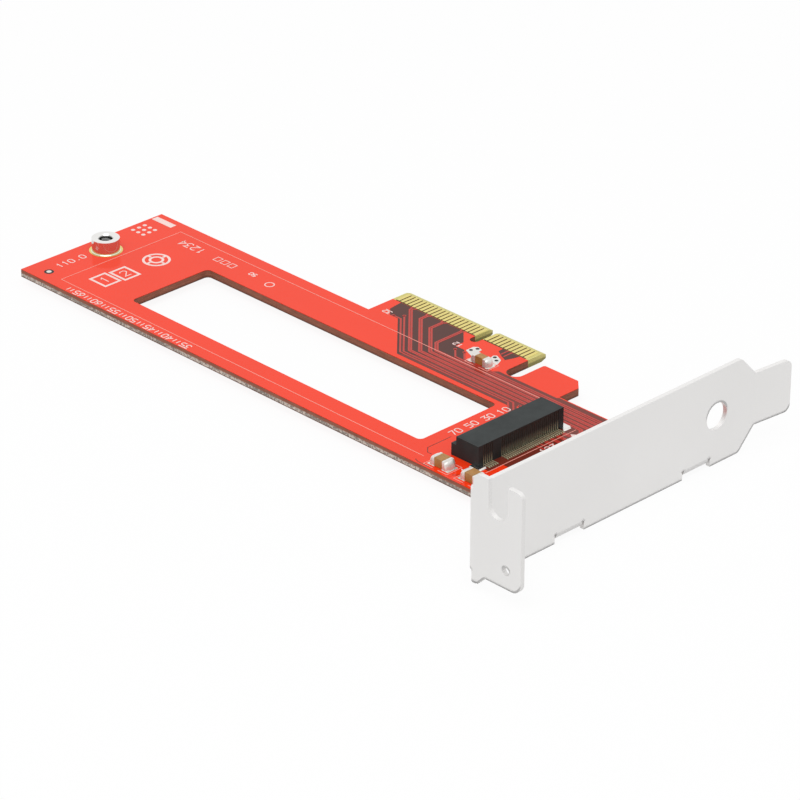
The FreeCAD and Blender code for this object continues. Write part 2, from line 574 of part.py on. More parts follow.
def make_bracket():
    body = new_body("bracket")
    sketch = new_sketch(body, "plate_outline", "YZ_Plane", z="plate_outer_x")
    draw_outline(sketch, [
        ("bracket_end_reach", "plate_high"),
        ("shoulder_y", "plate_high"),
        ("tail_start_y", "tail_high"),
        ("tail_start_y", "tail_low"),
        ("shoulder_y", "plate_low"),
        ("back_relief_start_y", "plate_low"),
        ("back_relief_start_y", "relief_high"),
        ("back_tab_start_y", "relief_high"),
        ("back_tab_start_y", "tab_low"),
        ("back_tab_end_y", "tab_low"),
        ("back_tab_end_y", "relief_high"),
        ("back_relief_end_y", "relief_high"),
        ("back_relief_end_y", "plate_low"),
        ("front_relief_start_y", "plate_low"),
        ("front_relief_start_y", "relief_high"),
        ("front_tab_start_y", "relief_high"),
        ("front_tab_start_y", "tab_low"),
        ("front_tab_end_y", "tab_low"),
        ("front_tab_end_y", "relief_high"),
        ("front_relief_end_y", "relief_high"),
        ("front_relief_end_y", "plate_low"),
        ("plate_relief_y", "plate_low"),
        ("plate_relief_y", "flange_relief_z"),
        ("bracket_end_reach", "flange_relief_z"),
    ])
    add_pad(body, "plate", sketch, "sheet_thickness")

    sketch = new_sketch(body, "tail_section", "XY_Plane", z="tail_low")
    draw_outline(sketch, [
        ("plate_outer_x", "tail_start_y"),
        ("tail_outer_x", "tail_end_y"),
        ("tail_inner_x", "tail_end_y"),
        ("plate_inner_x", "tail_start_y"),
    ])
    add_pad(body, "tail", sketch, "tail_width")

    sketch = new_sketch(body, "flange_outline", "XZ_Plane", z="-bracket_end_reach")
    draw_outline(sketch, [
        ("plate_inner_x", "flange_relief_z"),
        ("plate_inner_x", "plate_high"),
        ("flange_bend_x", "plate_high"),
        ("flange_bend_x", "flange_high"),
        ("screw_slot_near_x", "flange_high"),
        ("screw_slot_near_x", "screw_slot_round_z"),
        ("screw_slot_far_x", "screw_slot_round_z"),
        ("screw_slot_far_x", "flange_high"),
        ("flange_edge_x", "flange_high"),
        ("flange_edge_x", "flange_low"),
        ("flange_lobe_top_x", "flange_low"),
        ("flange_lobe_end_x", "flange_lobe_low"),
        ("flange_lobe_x", "flange_lobe_low"),
        ("flange_lobe_x", "flange_relief_z"),
    ])
    add_pad(body, "flange", sketch, "sheet_thickness")

    sketch = new_sketch(body, "tab_sections", "YZ_Plane", z="plate_outer_x")
    draw_rectangle(sketch, "front_tab_start_y", "front_tab_end_y", "tab_low", "tab_top")
    draw_rectangle(sketch, "back_tab_start_y", "back_tab_end_y", "tab_low", "tab_top")
    add_pad(body, "tabs", sketch, "tab_reach_x")

    sketch = new_sketch(body, "plate_opening", "YZ_Plane", z="plate_outer_x")
    draw_circle(sketch, "bracket_hole_reach", "bracket_hole_z", "bracket_hole_radius")
    add_pocket(body, "plate_hole", sketch, "sheet_thickness", backwards=True)

    sketch = new_sketch(body, "flange_openings", "XZ_Plane", z="-bracket_end_reach")
    draw_circle(sketch, "screw_slot_middle_x", "screw_slot_round_z", "screw_slot_radius")
    draw_circle(sketch, "flange_hole_x", "flange_hole_z", "flange_hole_radius")
    add_pocket(body, "flange_cuts", sketch, "sheet_thickness", backwards=True)

    sketch = new_sketch(body, "tab_holes", "XY_Plane", z="tab_top")
    draw_circle(sketch, "screw_x", "tab_front_reach", "tapped_radius")
    draw_circle(sketch, "screw_x", "tab_back_reach", "tapped_radius")
    add_pocket(body, "tapped_holes", sketch, "sheet_thickness")

    tab_ends = ("front_tab_start_y", "front_tab_end_y", "back_tab_start_y", "back_tab_end_y")
    round_edges(body, "tab_rounds", "tab_corner", "z", [("tab_end_x", y) for y in tab_ends])
    round_edges(body, "tab_bends_outside", "bend_outer_radius", "y", [("plate_outer_x", "tab_low")])
    round_edges(body, "tab_bends_inside", "bend_radius", "y", [("plate_inner_x", "tab_top")])
    round_edges(body, "flange_bend_outside", "bend_outer_radius", "z", [
        ("plate_inner_x", "bracket_end_reach"),
    ])
    round_edges(body, "flange_bend_inside", "bend_radius", "z", [("plate_outer_x", "flange_inner_y")])
    round_edges(body, "flange_inner_round", "flange_inner_corner", "y", [("flange_bend_x", "flange_high")])
    round_edges(body, "flange_top_round", "flange_top_corner", "y", [("flange_edge_x", "flange_high")])
    round_edges(body, "flange_low_round", "flange_low_corner", "y", [("flange_edge_x", "flange_low")])
    round_edges(body, "shoulder_rounds", "shoulder_round", "x", [
        ("shoulder_y", "plate_high"),
        ("shoulder_y", "plate_low"),
    ])
    round_edges(body, "tail_rounds", "tail_corner", "x", [
        ("tail_end_y", "tail_high"),
        ("tail_end_y", "tail_low"),
    ])


def make_bracket_screws():
    body = new_body("bracket_screws")
    sketch = new_sketch(body, "screw_profile", "XZ_Plane", x="screw_x", z="-tab_back_reach")
    draw_outline(sketch, [
        (0, "screw_end"),
        ("screw_radius", "screw_end"),
        ("screw_radius", "board_top"),
        ("screw_head_radius", "board_top"),
        ("screw_head_radius", "screw_shoulder"),
        ("screw_crown_radius", "screw_head_top"),
        (0, "screw_head_top"),
    ])
    turned = body.newObject("PartDesign::Revolution", "screw")
    turned.Profile = sketch
    turned.ReferenceAxis = (sketch, ["V_Axis"])
    turned.Angle = 360
    body.Tip = turned
    doc.recompute()

    sketch = new_sketch(
        body, "recess_outline", "XY_Plane", x="screw_x", y="tab_back_reach", z="screw_head_top"
    )
    half, bar = "recess_half", "recess_bar_half"
    draw_outline(sketch, [
        (half, "-" + bar), (half, bar), (bar, bar), (bar, half),
        ("-" + bar, half), ("-" + bar, bar), ("-" + half, bar), ("-" + half, "-" + bar),
        ("-" + bar, "-" + bar), ("-" + bar, "-" + half), (bar, "-" + half), (bar, "-" + bar),
    ])
    add_pocket(body, "recess", sketch, "recess_depth")

    pair = body.newObject("PartDesign::LinearPattern", "screw_pair")
    pair.TransformMode = "Whole shape"
    pair.Direction = (origin_feature(body, "Y_Axis"), [""])
    bind(pair, "Length", "screw_span")
    pair.Occurrences = 2
    body.Tip = pair
    doc.recompute()


def make_standoff():
    body = new_body("module_standoff")
    sketch = new_sketch(
        body, "standoff_profile", "XZ_Plane", x="standoff_x", z="-module_centre_reach"
    )
    draw_outline(sketch, [
        ("standoff_bore_radius", "standoff_shank_low"),
        ("standoff_shank_radius", "standoff_shank_low"),
        ("standoff_shank_radius", "standoff_seat"),
        ("standoff_radius", "standoff_seat"),
        ("standoff_radius", "module_low"),
        ("standoff_mouth_radius", "module_low"),
        ("standoff_bore_radius", "standoff_chamfer_low"),
    ])
    turned = body.newObject("PartDesign::Revolution", "standoff")
    turned.Profile = sketch
    turned.ReferenceAxis = (sketch, ["V_Axis"])
    turned.Angle = 360
    body.Tip = turned

    body = new_body("standoff_pad")
    sketch = new_sketch(body, "pad_outline", "XY_Plane", z="board_top")
    draw_circle(sketch, "standoff_x", "module_centre_reach", "standoff_pad_radius")
    draw_circle(sketch, "standoff_x", "module_centre_reach", "standoff_hole_radius")
    add_pad(body, "pad_ring", sketch, "pad_height")


def cut_groove_row(body, name, corners, first, span, count):
    """Row of like grooves across the socket, each one contact wide and drawn in side view."""
    sketch = new_sketch(body, name + "_outline", "XZ_Plane")
    sketch.setExpression("AttachmentOffset.Base.z", f"-(sizes.{first} - sizes.groove_width / 2)")
    draw_outline(sketch, corners)
    groove = add_pocket(body, name, sketch, "groove_width")
    add_row(body, name + "_row", [groove], "Y_Axis", span, count)


def make_socket_housing():
    body = new_body("socket_housing")
    sketch = new_sketch(body, "housing_section", "XZ_Plane", z="-socket_near_y")
    draw_outline(sketch, [
        ("socket_rear_x", "board_top"),
        ("lip_x", "board_top"),
        ("lip_x", "lip_top"),
        ("socket_front_x", "lip_top"),
        ("socket_front_x", "socket_top"),
        ("socket_rear_x", "socket_top"),
    ])
    add_pad(body, "housing_block", sketch, "socket_length")

    sketch = new_sketch(body, "mouth_outline", "YZ_Plane", z="lip_x")
    draw_rectangle(sketch, "mouth_far_y", "rib_far_y", "mouth_low", "mouth_high")
    draw_rectangle(sketch, "rib_near_y", "mouth_near_y", "mouth_low", "mouth_high")
    add_pocket(body, "mouth", sketch, "mouth_depth")

    upper = [
        ("socket_rear_x", "board_top"),
        ("upper_groove_front_x", "board_top"),
        ("upper_groove_front_x", "mouth_high"),
        ("upper_groove_end_x", "mouth_high"),
        ("upper_groove_end_x", "upper_groove_high"),
        ("socket_rear_x", "upper_groove_high"),
    ]
    lower = [
        ("lower_groove_rear_x", "board_top"),
        ("lip_x", "board_top"),
        ("lip_x", "lower_groove_high"),
        ("lower_groove_front_x", "lower_groove_high"),
        ("lower_groove_front_x", "mouth_low"),
        ("lower_groove_rear_x", "mouth_low"),
    ]
    cut_groove_row(body, "upper_far", upper, "upper_far_pin_y", "far_pin_span", "far_pin_count")
    cut_groove_row(
        body, "upper_near", upper, "upper_near_pin_y", "upper_near_pin_span", "upper_near_pin_count"
    )
    cut_groove_row(body, "lower_far", lower, "lower_far_pin_y", "far_pin_span", "far_pin_count")
    cut_groove_row(
        body, "lower_near", lower, "lower_near_pin_y", "lower_near_pin_span", "lower_near_pin_count"
    )

    sketch = new_sketch(body, "hold_down_pockets", "XY_Plane", z="board_top")
    draw_rectangle(
        sketch, "hold_down_rear_x", "hold_down_pocket_x", "hold_down_pocket_near_y", "hold_down_near_y"
    )
    draw_rectangle(
        sketch, "hold_down_rear_x", "hold_down_pocket_x", "hold_down_far_y", "hold_down_pocket_far_y"
    )
    add_pocket(body, "hold_down_seats", sketch, "hold_down_pocket", backwards=True)

    sketch = new_sketch(body, "blade_slots", "XY_Plane", z="board_top")
    draw_rectangle(
        sketch, "blade_slot_x", "hold_down_pocket_x", "hold_down_pocket_near_y", "blade_slot_near_y"
    )
    draw_rectangle(
        sketch, "blade_slot_x", "hold_down_pocket_x", "blade_slot_far_y", "hold_down_pocket_far_y"
    )
    add_pocket(body, "blade_slot_cuts", sketch, "blade_slot_depth", backwards=True)

    sketch = new_sketch(body, "peg_outlines", "XY_Plane", z="board_top")
    draw_circle(sketch, "peg_x", "peg_near_y", "peg_radius")
    draw_circle(sketch, "peg_x", "peg_far_y", "peg_radius")
    add_pad(body, "pegs", sketch, "peg_length", backwards=True)


def make_contact_row(body, name, corners, first, span, count):
    """Row of like spring contacts, each drawn in side view."""
    sketch = new_sketch(body, name + "_outline", "XZ_Plane")
    sketch.setExpression("AttachmentOffset.Base.z", f"-(sizes.{first} - sizes.pin_width / 2)")
    draw_outline(sketch, corners)
    contact = add_pad(body, name, sketch, "pin_width", backwards=True)
    add_row(body, name + "_row", [contact], "Y_Axis", span, count)


def make_socket_contacts():
    upper = [
        ("upper_foot_x", "board_top"),
        ("upper_riser_front_x", "board_top"),
        ("upper_riser_front_x", "upper_beam_low"),
        ("upper_bend_x", "upper_beam_low"),
        ("upper_crest_x", "upper_crest_low"),
        ("upper_tip_x", "upper_beam_low"),
        ("upper_tip_x", "upper_beam_high"),
        ("upper_crest_x", "upper_crest_high"),
        ("upper_bend_x", "upper_beam_high"),
        ("upper_riser_x", "upper_beam_high"),
        ("upper_riser_x", "pin_foot_high"),
        ("upper_foot_x", "pin_foot_high"),
    ]
    body = new_body("socket_upper_contacts")
    make_contact_row(body, "far", upper, "upper_far_pin_y", "far_pin_span", "far_pin_count")
    make_contact_row(
        body, "near", upper, "upper_near_pin_y", "upper_near_pin_span", "upper_near_pin_count"
    )

    lower = [
        ("lower_foot_x", "board_top"),
        ("lower_foot_x", "pin_foot_high"),
        ("lower_riser_front_x", "pin_foot_high"),
        ("lower_riser_front_x", "lower_bend_low"),
        ("lower_crest_x", "lower_crest_low"),
        ("lower_tip_x", "lower_bend_low"),
        ("lower_tip_x", "lower_bend_high"),
        ("lower_crest_x", "lower_crest_high"),
        ("lower_riser_x", "lower_bend_high"),
        ("lower_riser_x", "board_top"),
    ]
    body = new_body("socket_lower_contacts")
    make_contact_row(body, "far", lower, "lower_far_pin_y", "far_pin_span", "far_pin_count")
    make_contact_row(
        body, "near", lower, "lower_near_pin_y", "lower_near_pin_span", "lower_near_pin_count"
    )


def make_hold_downs():
    """Two solder feet at the back corners of the socket, each with a blade up into the housing."""
    body = new_body("socket_hold_downs")
    sketch = new_sketch(body, "feet", "XY_Plane", z="board_top")
    draw_rectangle(
        sketch, "hold_down_rear_x", "hold_down_front_x", "hold_down_near_inner_y", "hold_down_near_y"
    )
    draw_rectangle(
        sketch, "hold_down_rear_x", "hold_down_front_x", "hold_down_far_y", "hold_down_far_inner_y"
    )
    add_pad(body, "foot_plates", sketch, "hold_down_sheet")
    sketch = new_sketch(body, "blades", "XY_Plane", z="board_top")
    draw_rectangle(sketch, "blade_rear_x", "hold_down_front_x", "hold_down_near_inner_y", "blade_near_y")
    draw_rectangle(sketch, "blade_rear_x", "hold_down_front_x", "blade_far_y", "hold_down_far_inner_y")
    add_pad(body, "blade_plates", sketch, "hold_down_blade")


def make_capacitor(label, kind, x, y):
    """Ceramic block between two metal ends that stand on the board."""
    length, width, height = [f"sizes.{kind}_capacitor_{side}" for side in ("length", "width", "height")]
    ceramic = doc.addObject("Part::Box", label + "_body")
    ceramic.Label = label + "_body"
    ceramic.setExpression("Length", f"{length} - 2 * sizes.terminal_length")
    ceramic.setExpression("Width", f"{width} - 2 * sizes.ceramic_inset")
    ceramic.setExpression("Height", f"{height} - 2 * sizes.ceramic_inset")
    ceramic.setExpression("Placement.Base.x", f"sizes.{x} - {length} / 2 + sizes.terminal_length")
    ceramic.setExpression("Placement.Base.y", f"sizes.{y} - {width} / 2 + sizes.ceramic_inset")
    ceramic.setExpression("Placement.Base.z", "sizes.board_top + sizes.ceramic_inset")
    pieces.append(ceramic)

    ends = []
    for side, start in (
        ("near", f"sizes.{x} - {length} / 2"),
        ("far", f"sizes.{x} + {length} / 2 - sizes.terminal_length"),
    ):
        block = doc.addObject("Part::Box", f"{label}_{side}_block")
        bind(block, "Length", "terminal_length")
        block.setExpression("Width", width)
        block.setExpression("Height", height)
        block.setExpression("Placement.Base.x", start)
        block.setExpression("Placement.Base.y", f"sizes.{y} - {width} / 2")
        bind(block, "Placement.Base.z", "board_top")
        doc.recompute()
        bevelled = doc.addObject("Part::Chamfer", f"{label}_{side}_end")
        bevelled.Base = block
        bevel = value("terminal_bevel")
        bevelled.Edges = [(number, bevel, bevel) for number in upper_edges(block.Shape)]
        ends.append(bevelled)
    terminals = doc.addObject("Part::Compound", label + "_terminals")
    terminals.Label = label + "_terminals"
    terminals.Links = ends
    pieces.append(terminals)


def upper_edges(shape):
    """Numbers of the edges that bound the top face of a block."""
    top = shape.BoundBox.ZMax
    return [
        number for number, edge in enumerate(shape.Edges, start=1)
        if abs(edge.BoundBox.ZMin - top) < 0.001
    ]


def write_pieces():
    """Check every object of the document, then write each piece to its own file."""
    doc.recompute()
    for thing in doc.Objects:
        if "Invalid" in thing.State or "Error" in thing.State:
            raise ValueError(thing.Label + " failed: " + ", ".join(thing.State))
    for piece in pieces:
        if piece.Shape.isNull() or not piece.Shape.isValid():
            raise ValueError(piece.Label + " has no valid shape")
    os.makedirs("parts", exist_ok=True)
    for piece in pieces:
        piece.Shape.exportStep(f"parts/{piece.Label}.step")
        print(piece.Label, len(piece.Shape.Solids), "solids", round(piece.Shape.Volume, 2), "mm3")


fill_sheet()
make_circuit_board()
make_edge_contacts("edge_contacts_component_side", "board_top", False)
make_edge_contacts("edge_contacts_solder_side", "board_bottom", True)
make_bracket()
make_bracket_screws()
make_standoff()
make_socket_housing()
make_socket_contacts()
make_hold_downs()
make_capacitor("capacitor_1", "large", "capacitor_1_x", "large_capacitor_y")
make_capacitor("capacitor_2", "large", "capacitor_2_x", "large_capacitor_y")
make_capacitor("capacitor_3", "small", "capacitor_3_x", "capacitor_3_offset")
write_pieces()
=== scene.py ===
import math

import bmesh
import bpy
from mathutils import Matrix, Vector


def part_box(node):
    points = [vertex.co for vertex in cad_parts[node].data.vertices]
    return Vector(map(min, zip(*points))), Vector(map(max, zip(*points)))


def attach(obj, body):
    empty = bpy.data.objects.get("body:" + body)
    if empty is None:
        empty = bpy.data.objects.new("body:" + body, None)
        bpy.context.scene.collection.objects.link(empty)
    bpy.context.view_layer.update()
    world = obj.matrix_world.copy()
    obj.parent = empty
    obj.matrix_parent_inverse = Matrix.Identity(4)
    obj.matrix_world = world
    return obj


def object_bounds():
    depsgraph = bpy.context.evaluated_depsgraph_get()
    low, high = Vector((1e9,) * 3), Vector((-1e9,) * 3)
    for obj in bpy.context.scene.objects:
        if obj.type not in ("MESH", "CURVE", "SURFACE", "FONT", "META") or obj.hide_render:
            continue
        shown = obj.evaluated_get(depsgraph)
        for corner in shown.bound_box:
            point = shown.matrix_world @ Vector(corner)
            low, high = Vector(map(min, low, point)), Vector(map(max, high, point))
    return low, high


# Finishes, copper, print and solder of an interface card: an adapter board with a card edge, a slot
# bracket, and a socket and standoff for a long storage module. Lengths in the lists below are
# millimetres in the card's frame: X from the bracket to the far end, Y away from the expansion slot,
# Z up from the component side.

bl_info = {
    "name": "Interface Card Looks",
    "version": (1, 1, 0),
    "blender": (4, 5, 0),
    "location": "3D View > Sidebar > Interface Card",
    "description": "Finishes, copper, print and solder of an interface card",
    "category": "Object",
}

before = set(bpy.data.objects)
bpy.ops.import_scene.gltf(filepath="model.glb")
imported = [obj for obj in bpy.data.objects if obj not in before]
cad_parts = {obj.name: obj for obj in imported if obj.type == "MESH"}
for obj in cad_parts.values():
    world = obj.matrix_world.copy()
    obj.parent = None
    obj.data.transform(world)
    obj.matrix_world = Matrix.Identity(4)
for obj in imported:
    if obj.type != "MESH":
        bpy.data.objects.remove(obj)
cad_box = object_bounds()

MM = 0.001
BODY = "root"


def node_box(name):
    """Lowest and highest corner of a node, in millimetres."""
    low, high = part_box(name)
    return low / MM, high / MM


board_low, board_high = node_box("circuit_board")
_, bracket_high = node_box("bracket")
standoff_low, standoff_high = node_box("module_standoff")
ring_low, ring_high = node_box("standoff_pad")
_, housing_high = node_box("socket_housing")
upper_low, upper_high = node_box("socket_upper_contacts")
lower_low, lower_high = node_box("socket_lower_contacts")
contacts_low, contacts_high = node_box("edge_contacts_component_side")

TOP = board_high.z
UNDER = board_low.z
STANDOFF = Vector(((ring_low.x + ring_high.x) / 2, (ring_low.y + ring_high.y) / 2))

# Outer face of the bracket's plate, and the thickness of its sheet.
PLATE_FACE = -59.05
SHEET = 0.86

# Contacts of the card edge, from the key outwards, and of the socket.
FIRST_EDGE_CONTACT = 1.15
EDGE_MASK_LINE = 4.65
CONTACT_PITCH = 0.5
CONTACT_WIDTH = 0.2
FAR_CONTACTS = 29
NEAR_UPPER_CONTACTS = 5
NEAR_LOWER_CONTACTS = 4
STANDOFF_BORE = 1.25
BORE_RIM = 0.12

# Near end of the card edge, depth of the scored front edge, and reach of the bracket's bends.
CARD_EDGE_END = -13.3
SCORED_DEPTH = 0.2
FLANGE_BEND = 0.9
PLATE_BEND = 1.5
TAB_BEND = 0.6

# Depths below the socket's roof between which its contacts grow dark as painted shade.
CONTACT_SHADE = (3.5, 2.0)

# Scales of the grain and of the blotches on each finish.
BOARD_GRAIN = (2600.0, 60.0)
MASK_GRAIN = (2600.0, 140.0)
INK_GRAIN = (5200.0, 420.0)
METAL_GRAIN = (3800.0, 260.0)
SHEET_GRAIN = (5200.0, 45.0)
PLASTIC_GRAIN = (6500.0, 320.0)
CERAMIC_GRAIN = (7000.0, 900.0)
HOLE_GRAIN = (4000.0, 800.0)

# Width of the brightened rims on plated, turned and moulded pieces, rubbed wear and painted highlight on
# metal and painted highlight on the moulding, and of the bracket's rims that turn down, darkened as painted
# shade.
PLATED_WEAR_AND_HIGHLIGHT = 0.06
TURNED_WEAR_AND_HIGHLIGHT = 0.08
MOULDED_HIGHLIGHT = 0.12
BRACKET_RIM = 0.7

# Finishes made with one function: name of the material, then gloss, height of the grain and share of metal.
METAL_FINISHES = {
    "gold": ("contact gold", 0.22),
    "tin": ("bright tin", 0.1),
    "dull_tin": ("dull tin", 0.35),
    "solder": ("satin solder", 0.32, 0.03, 0.7),
    "screw": ("screw steel", 0.26),
}
MASK_FINISHES = {
    "bare_mask": "mask on laminate",
    "lane_mask": "mask between lanes",
    "trace_mask": "mask on traces",
}

# Dark areas of the component side, where the mask lies on bare laminate: by the card edge, and between
# and beside the lanes.
EDGE_FIELDS = (
    (
        (20.4, 4.7), (3.9, 4.7), (0.7, 7.9), (0.7, 10.0), (-1.6, 10.0), (-4.3, 12.7), (5.9, 19.9),
        (16.1, 9.7), (18.2, 9.7), (20.0, 7.9),
    ),
    ((-6.2, 4.7), (-10.5, 4.7), (-10.2, 6.0), (-9.6, 7.6), (-8.0, 6.9), (-6.3, 5.9)),
)
LANE_FIELDS = (
    (
        (-4.3, 12.7), (-10.9, 12.7), (-12.0, 11.6), (-26.4, 11.6), (-26.75, 11.25), (-42.0, 11.25),
        (-43.6, 12.85), (-43.6, 33.7), (-41.0, 36.3), (-37.2, 36.3), (-37.2, 39.7), (-33.6, 39.7),
        (-33.6, 18.95), (-23.6, 18.95), (-24.6, 19.95), (-27.3, 19.95), (-27.3, 21.9), (-24.4, 21.9),
        (-22.4, 19.9), (5.9, 19.9),
    ),
)

# Signal traces: points up to the slanting run, the lane along the board, and how many run side by side.
TRACES = (
    (((17.6, 9.45), (15.55, 9.45)), 19.0, 1),
    (((16.0, 8.1),), 18.4, 1),
    (((17.0, 5.05), (17.0, 5.45)), 17.3, 2),
    (((13.0, 5.05), (13.0, 6.8)), 16.15, 2),
    (((9.0, 5.05), (9.0, 8.2)), 15.0, 2),
    (((4.0, 5.05), (4.0, 11.6)), 13.9, 2),
    (((-0.2, 10.95),), 13.1, 1),
    (((-2.3, 10.7),), 12.6, 1),
)
# Pitch of a pair and of the edge contacts, lead from a contact, cut corner, and laps under the tails.
PAIR_PITCH = 0.42
EDGE_PITCH = 1.0
EDGE_LEAD = 0.35
TURN_CUT = 1.0
FRONT_LAP = 0.2
REAR_LAP = 0.1
# The first traces end at the socket's front, the others pass its end and turn back to its rear.
FRONT_ENDS = ((-21.5, 21.4), (-22.2, 20.4))
REAR_ENDS = ((-37.7, 20.4), (-38.6, 21.9), (-39.5, 23.4), (-40.4, 24.9), (-41.2, 26.15), (-41.9, 27.15))
EDGE_STUBS = (((-7.5, 4.4), (-7.5, 6.5)), ((-8.5, 4.4), (-8.5, 6.9)))

# Narrow gaps between copper areas, seen as thin darker lines.
CLEARANCES = (
    ((-23.6, 35.4), (-23.6, 41.2), (-24.8, 42.4), (-25.8, 42.4)),
    ((-25.0, 45.6), (-26.0, 46.0), (-29.0, 46.0)),
    ((-33.6, 45.2), (-34.6, 44.2), (-34.6, 41.2)),
    ((-40.6, 45.2), (-42.0, 43.8), (-42.0, 40.6), (-44.6, 38.0)),
)

VIAS = ((17.6, 9.45), (16.0, 8.1), (-0.2, 10.95), (-2.3, 10.7), (-23.9, 18.5))

# Tinned areas beside the small capacitor, and the vias in them.
TINNED_AREAS = (
    (
        (-1.9, 8.0), (-2.6, 7.4), (-3.9, 7.8), (-4.1, 9.6), (-5.9, 10.8), (-5.9, 12.6), (-4.6, 12.6),
        (-4.6, 11.0), (-1.9, 9.9),
    ),
    (
        (-6.9, 7.9), (-7.4, 7.4), (-9.2, 8.2), (-9.9, 9.8), (-9.9, 12.6), (-9.3, 12.6), (-9.3, 10.5),
        (-7.3, 9.3),
    ),
)
TINNED_VIAS = ((-2.5, 9.2), (-3.0, 8.0), (-7.6, 8.2), (-8.7, 8.9))
# Share by which a hole is drawn wider than its size, in a plain via and in a tinned one.
HOLE_SPREAD = 1.05
TINNED_HOLE_SPREAD = 2.2

# Pads under the socket's tails, and under the ends of the capacitors, which lie a little lower.
TAIL_PAD = (0.95, 0.28)
TAIL_PAD_INSET = 0.15
END_PAD_LENGTH = 1.7
END_PAD_MARGIN = 0.3
END_PAD_SHIFT = 0.1
END_PAD_DROP = 0.005

# Solder: width, height and reach of the hollow fillets, places of those at the hold-downs, points round
# the standoff's foot as steps out and up, and how far the solder climbs up a capacitor's end.
TAIL_FILLET = (0.24, 0.12, 0.25)
HOLD_DOWN_END_FILLET = (1.8, 0.2, 0.4)
HOLD_DOWN_SIDE_FILLET = (2.1, 0.2, 0.4)
HOLD_DOWN_END_INSET = 0.95
HOLD_DOWN_SIDE_SHIFT = 1.1
STANDOFF_FILLET = ((-0.02, 0.0), (0.1, 0.0), (0.04, 0.04), (0.0, 0.1), (-0.02, 0.1))
SOLDER_CLIMB = 0.93
THREAD_END_GAP = 0.2

# Forms of the solder: how hollow a fillet is, its lip, and how it narrows outwards and upwards; how full a
# blob is in plan and in height, and how it falls towards its sides.
FILLET_HOLLOW = 2.2
FILLET_LIP = 0.005
FILLET_TAPER = 0.22
FILLET_CREST = 0.92
BLOB_PLAN = 0.7
BLOB_CROWN = 0.8
BLOB_FALL = 0.2

# Middle and end of the thread's ridge, as shares of its pitch, and the least share in a mitre.
RIDGE_MIDDLE = 0.45
RIDGE_END = 0.9
SHARPEST_MITRE = 0.35

# Angles up to which the turned pieces and the full solder are shaded round.
TURNED_SHADING = math.radians(40)
SOLDER_SHADING = math.radians(60)

# Generic print: outline lines, plain numbers, boxes and bars.
MODULE_OUTLINE = ((-27.6, 13.8), (72.0, 13.8), (72.0, 43.9), (-25.4, 43.9))
SOCKET_LINE = ((-37.15, 17.9), (-37.15, 40.6))
NUMBERS = (
    # text, middle of the row, height, angle of reading in degrees
    ("110.0", (76.8, 37.4), 1.5, 270),
    ("1", (66.1, 38.1), 2.1, 270),
    ("2", (65.6, 33.6), 2.1, 270),
    ("1234", (65.5, 16.7), 1.8, 0),
    ("50", (48.4, 16.5), 1.0, 0),
    ("32", (19.4, 9.2), 1.1, 0),
    ("12", (0.8, 9.3), 1.1, 0),
    ("70", (-22.9, 33.6), 1.5, 270),
    ("50", (-22.9, 29.6), 1.5, 270),
    ("30", (-23.0, 25.6), 1.5, 270),
    ("10", (-23.2, 21.9), 1.5, 270),
    ("123", (-38.6, 26.4), 1.4, 270),
    ("1", (-33.9, 42.6), 1.0, 270),
    ("2", (-41.3, 43.0), 1.0, 270),
)
BOXES = (
    # middle, size along X, size along Y
    ((66.1, 38.1), 4.4, 3.6),
    ((65.6, 33.6), 4.4, 3.6),
    ((57.9, 16.8), 1.3, 1.5),
    ((55.9, 16.8), 1.3, 1.5),
    ((53.9, 16.8), 1.3, 1.5),
)
BAR = ((80.3, 13.2), (74.8, 13.2))
BAR_WIDTH = 1.5
TARGET_MARK = (65.9, 25.4)
TARGET_RADIUS = 2.5
# Inner ring and spokes of the target, as shares of its radius.
TARGET_INNER = 0.5
TARGET_SPOKE = (0.65, 0.9)
DOT_GRID = (77.6, 18.3)
DOT_GRID_STEP = 1.5
DOT_GRID_COUNT = 3
DOT_RADIUS = 0.42
SMALL_RING = (43.0, 17.2)
SMALL_RING_RADIUS = 0.9
SCALE_NUMBERS = (35, 40, 45, 50, 55, 60, 65)
SCALE_LINE = 45.5
SCALE_HEIGHT = 1.4
SCALE_TICKS = (2, 3)
TICK_ENDS = (-0.6, 0.5)
FIDUCIAL = (76.2, 43.4)
FIDUCIAL_GAP = 0.95
FIDUCIAL_DOT = 0.5
PIN_ONE_MARK = (-37.6, 19.8)
PIN_ONE_LENGTH = 0.9
PIN_ONE_HALF = 0.6
# Boxes longer than this have the bold line.
BOLD_BOX = 2.0
# Brackets printed round a capacitor: gap at its sides, gap at its ends, and where their arms stop.
END_BRACKET_SIDE = 0.7
END_BRACKET_GAP = 1.25
END_BRACKET_ARM = 0.4
# Sides of the larger round marks.
FINE_STEPS = 32
FINEST_STEPS = 40

# Strokes of plain figures on a grid four wide and six high.
FIGURES = {
    "0": (((1, 0), (0, 1), (0, 5), (1, 6), (3, 6), (4, 5), (4, 1), (3, 0), (1, 0)),),
    "1": (((0.8, 4.8), (2, 6), (2, 0)),),
    "2": (((0, 5), (1, 6), (3, 6), (4, 5), (4, 4), (0, 0), (4, 0)),),
    "3": (((0, 6), (4, 6), (1.8, 3.5), (3, 3.5), (4, 2.5), (4, 1), (3, 0), (1, 0), (0, 1)),),
    "4": (((3, 0), (3, 6), (0, 2), (4, 2)),),
    "5": (((4, 6), (0, 6), (0, 3.5), (3, 3.5), (4, 2.5), (4, 1), (3, 0), (0, 0)),),
    "6": (((3.5, 6), (1, 4), (0, 2.5), (0, 1), (1, 0), (3, 0), (4, 1), (4, 2.5), (3, 3.5), (0.6, 3.5)),),
    "7": (((0, 6), (4, 6), (1.5, 0)),),
    ".": (((1.5, 0.3), (2.5, 0.3)),),
}
FIGURE_WIDTH = 4
FIGURE_HEIGHT = 6
FIGURE_ADVANCE = 5.6

CAPACITORS = ("capacitor_1", "capacitor_2", "capacitor_3")
# Overlap with what carries a piece.
SUNK = 0.01

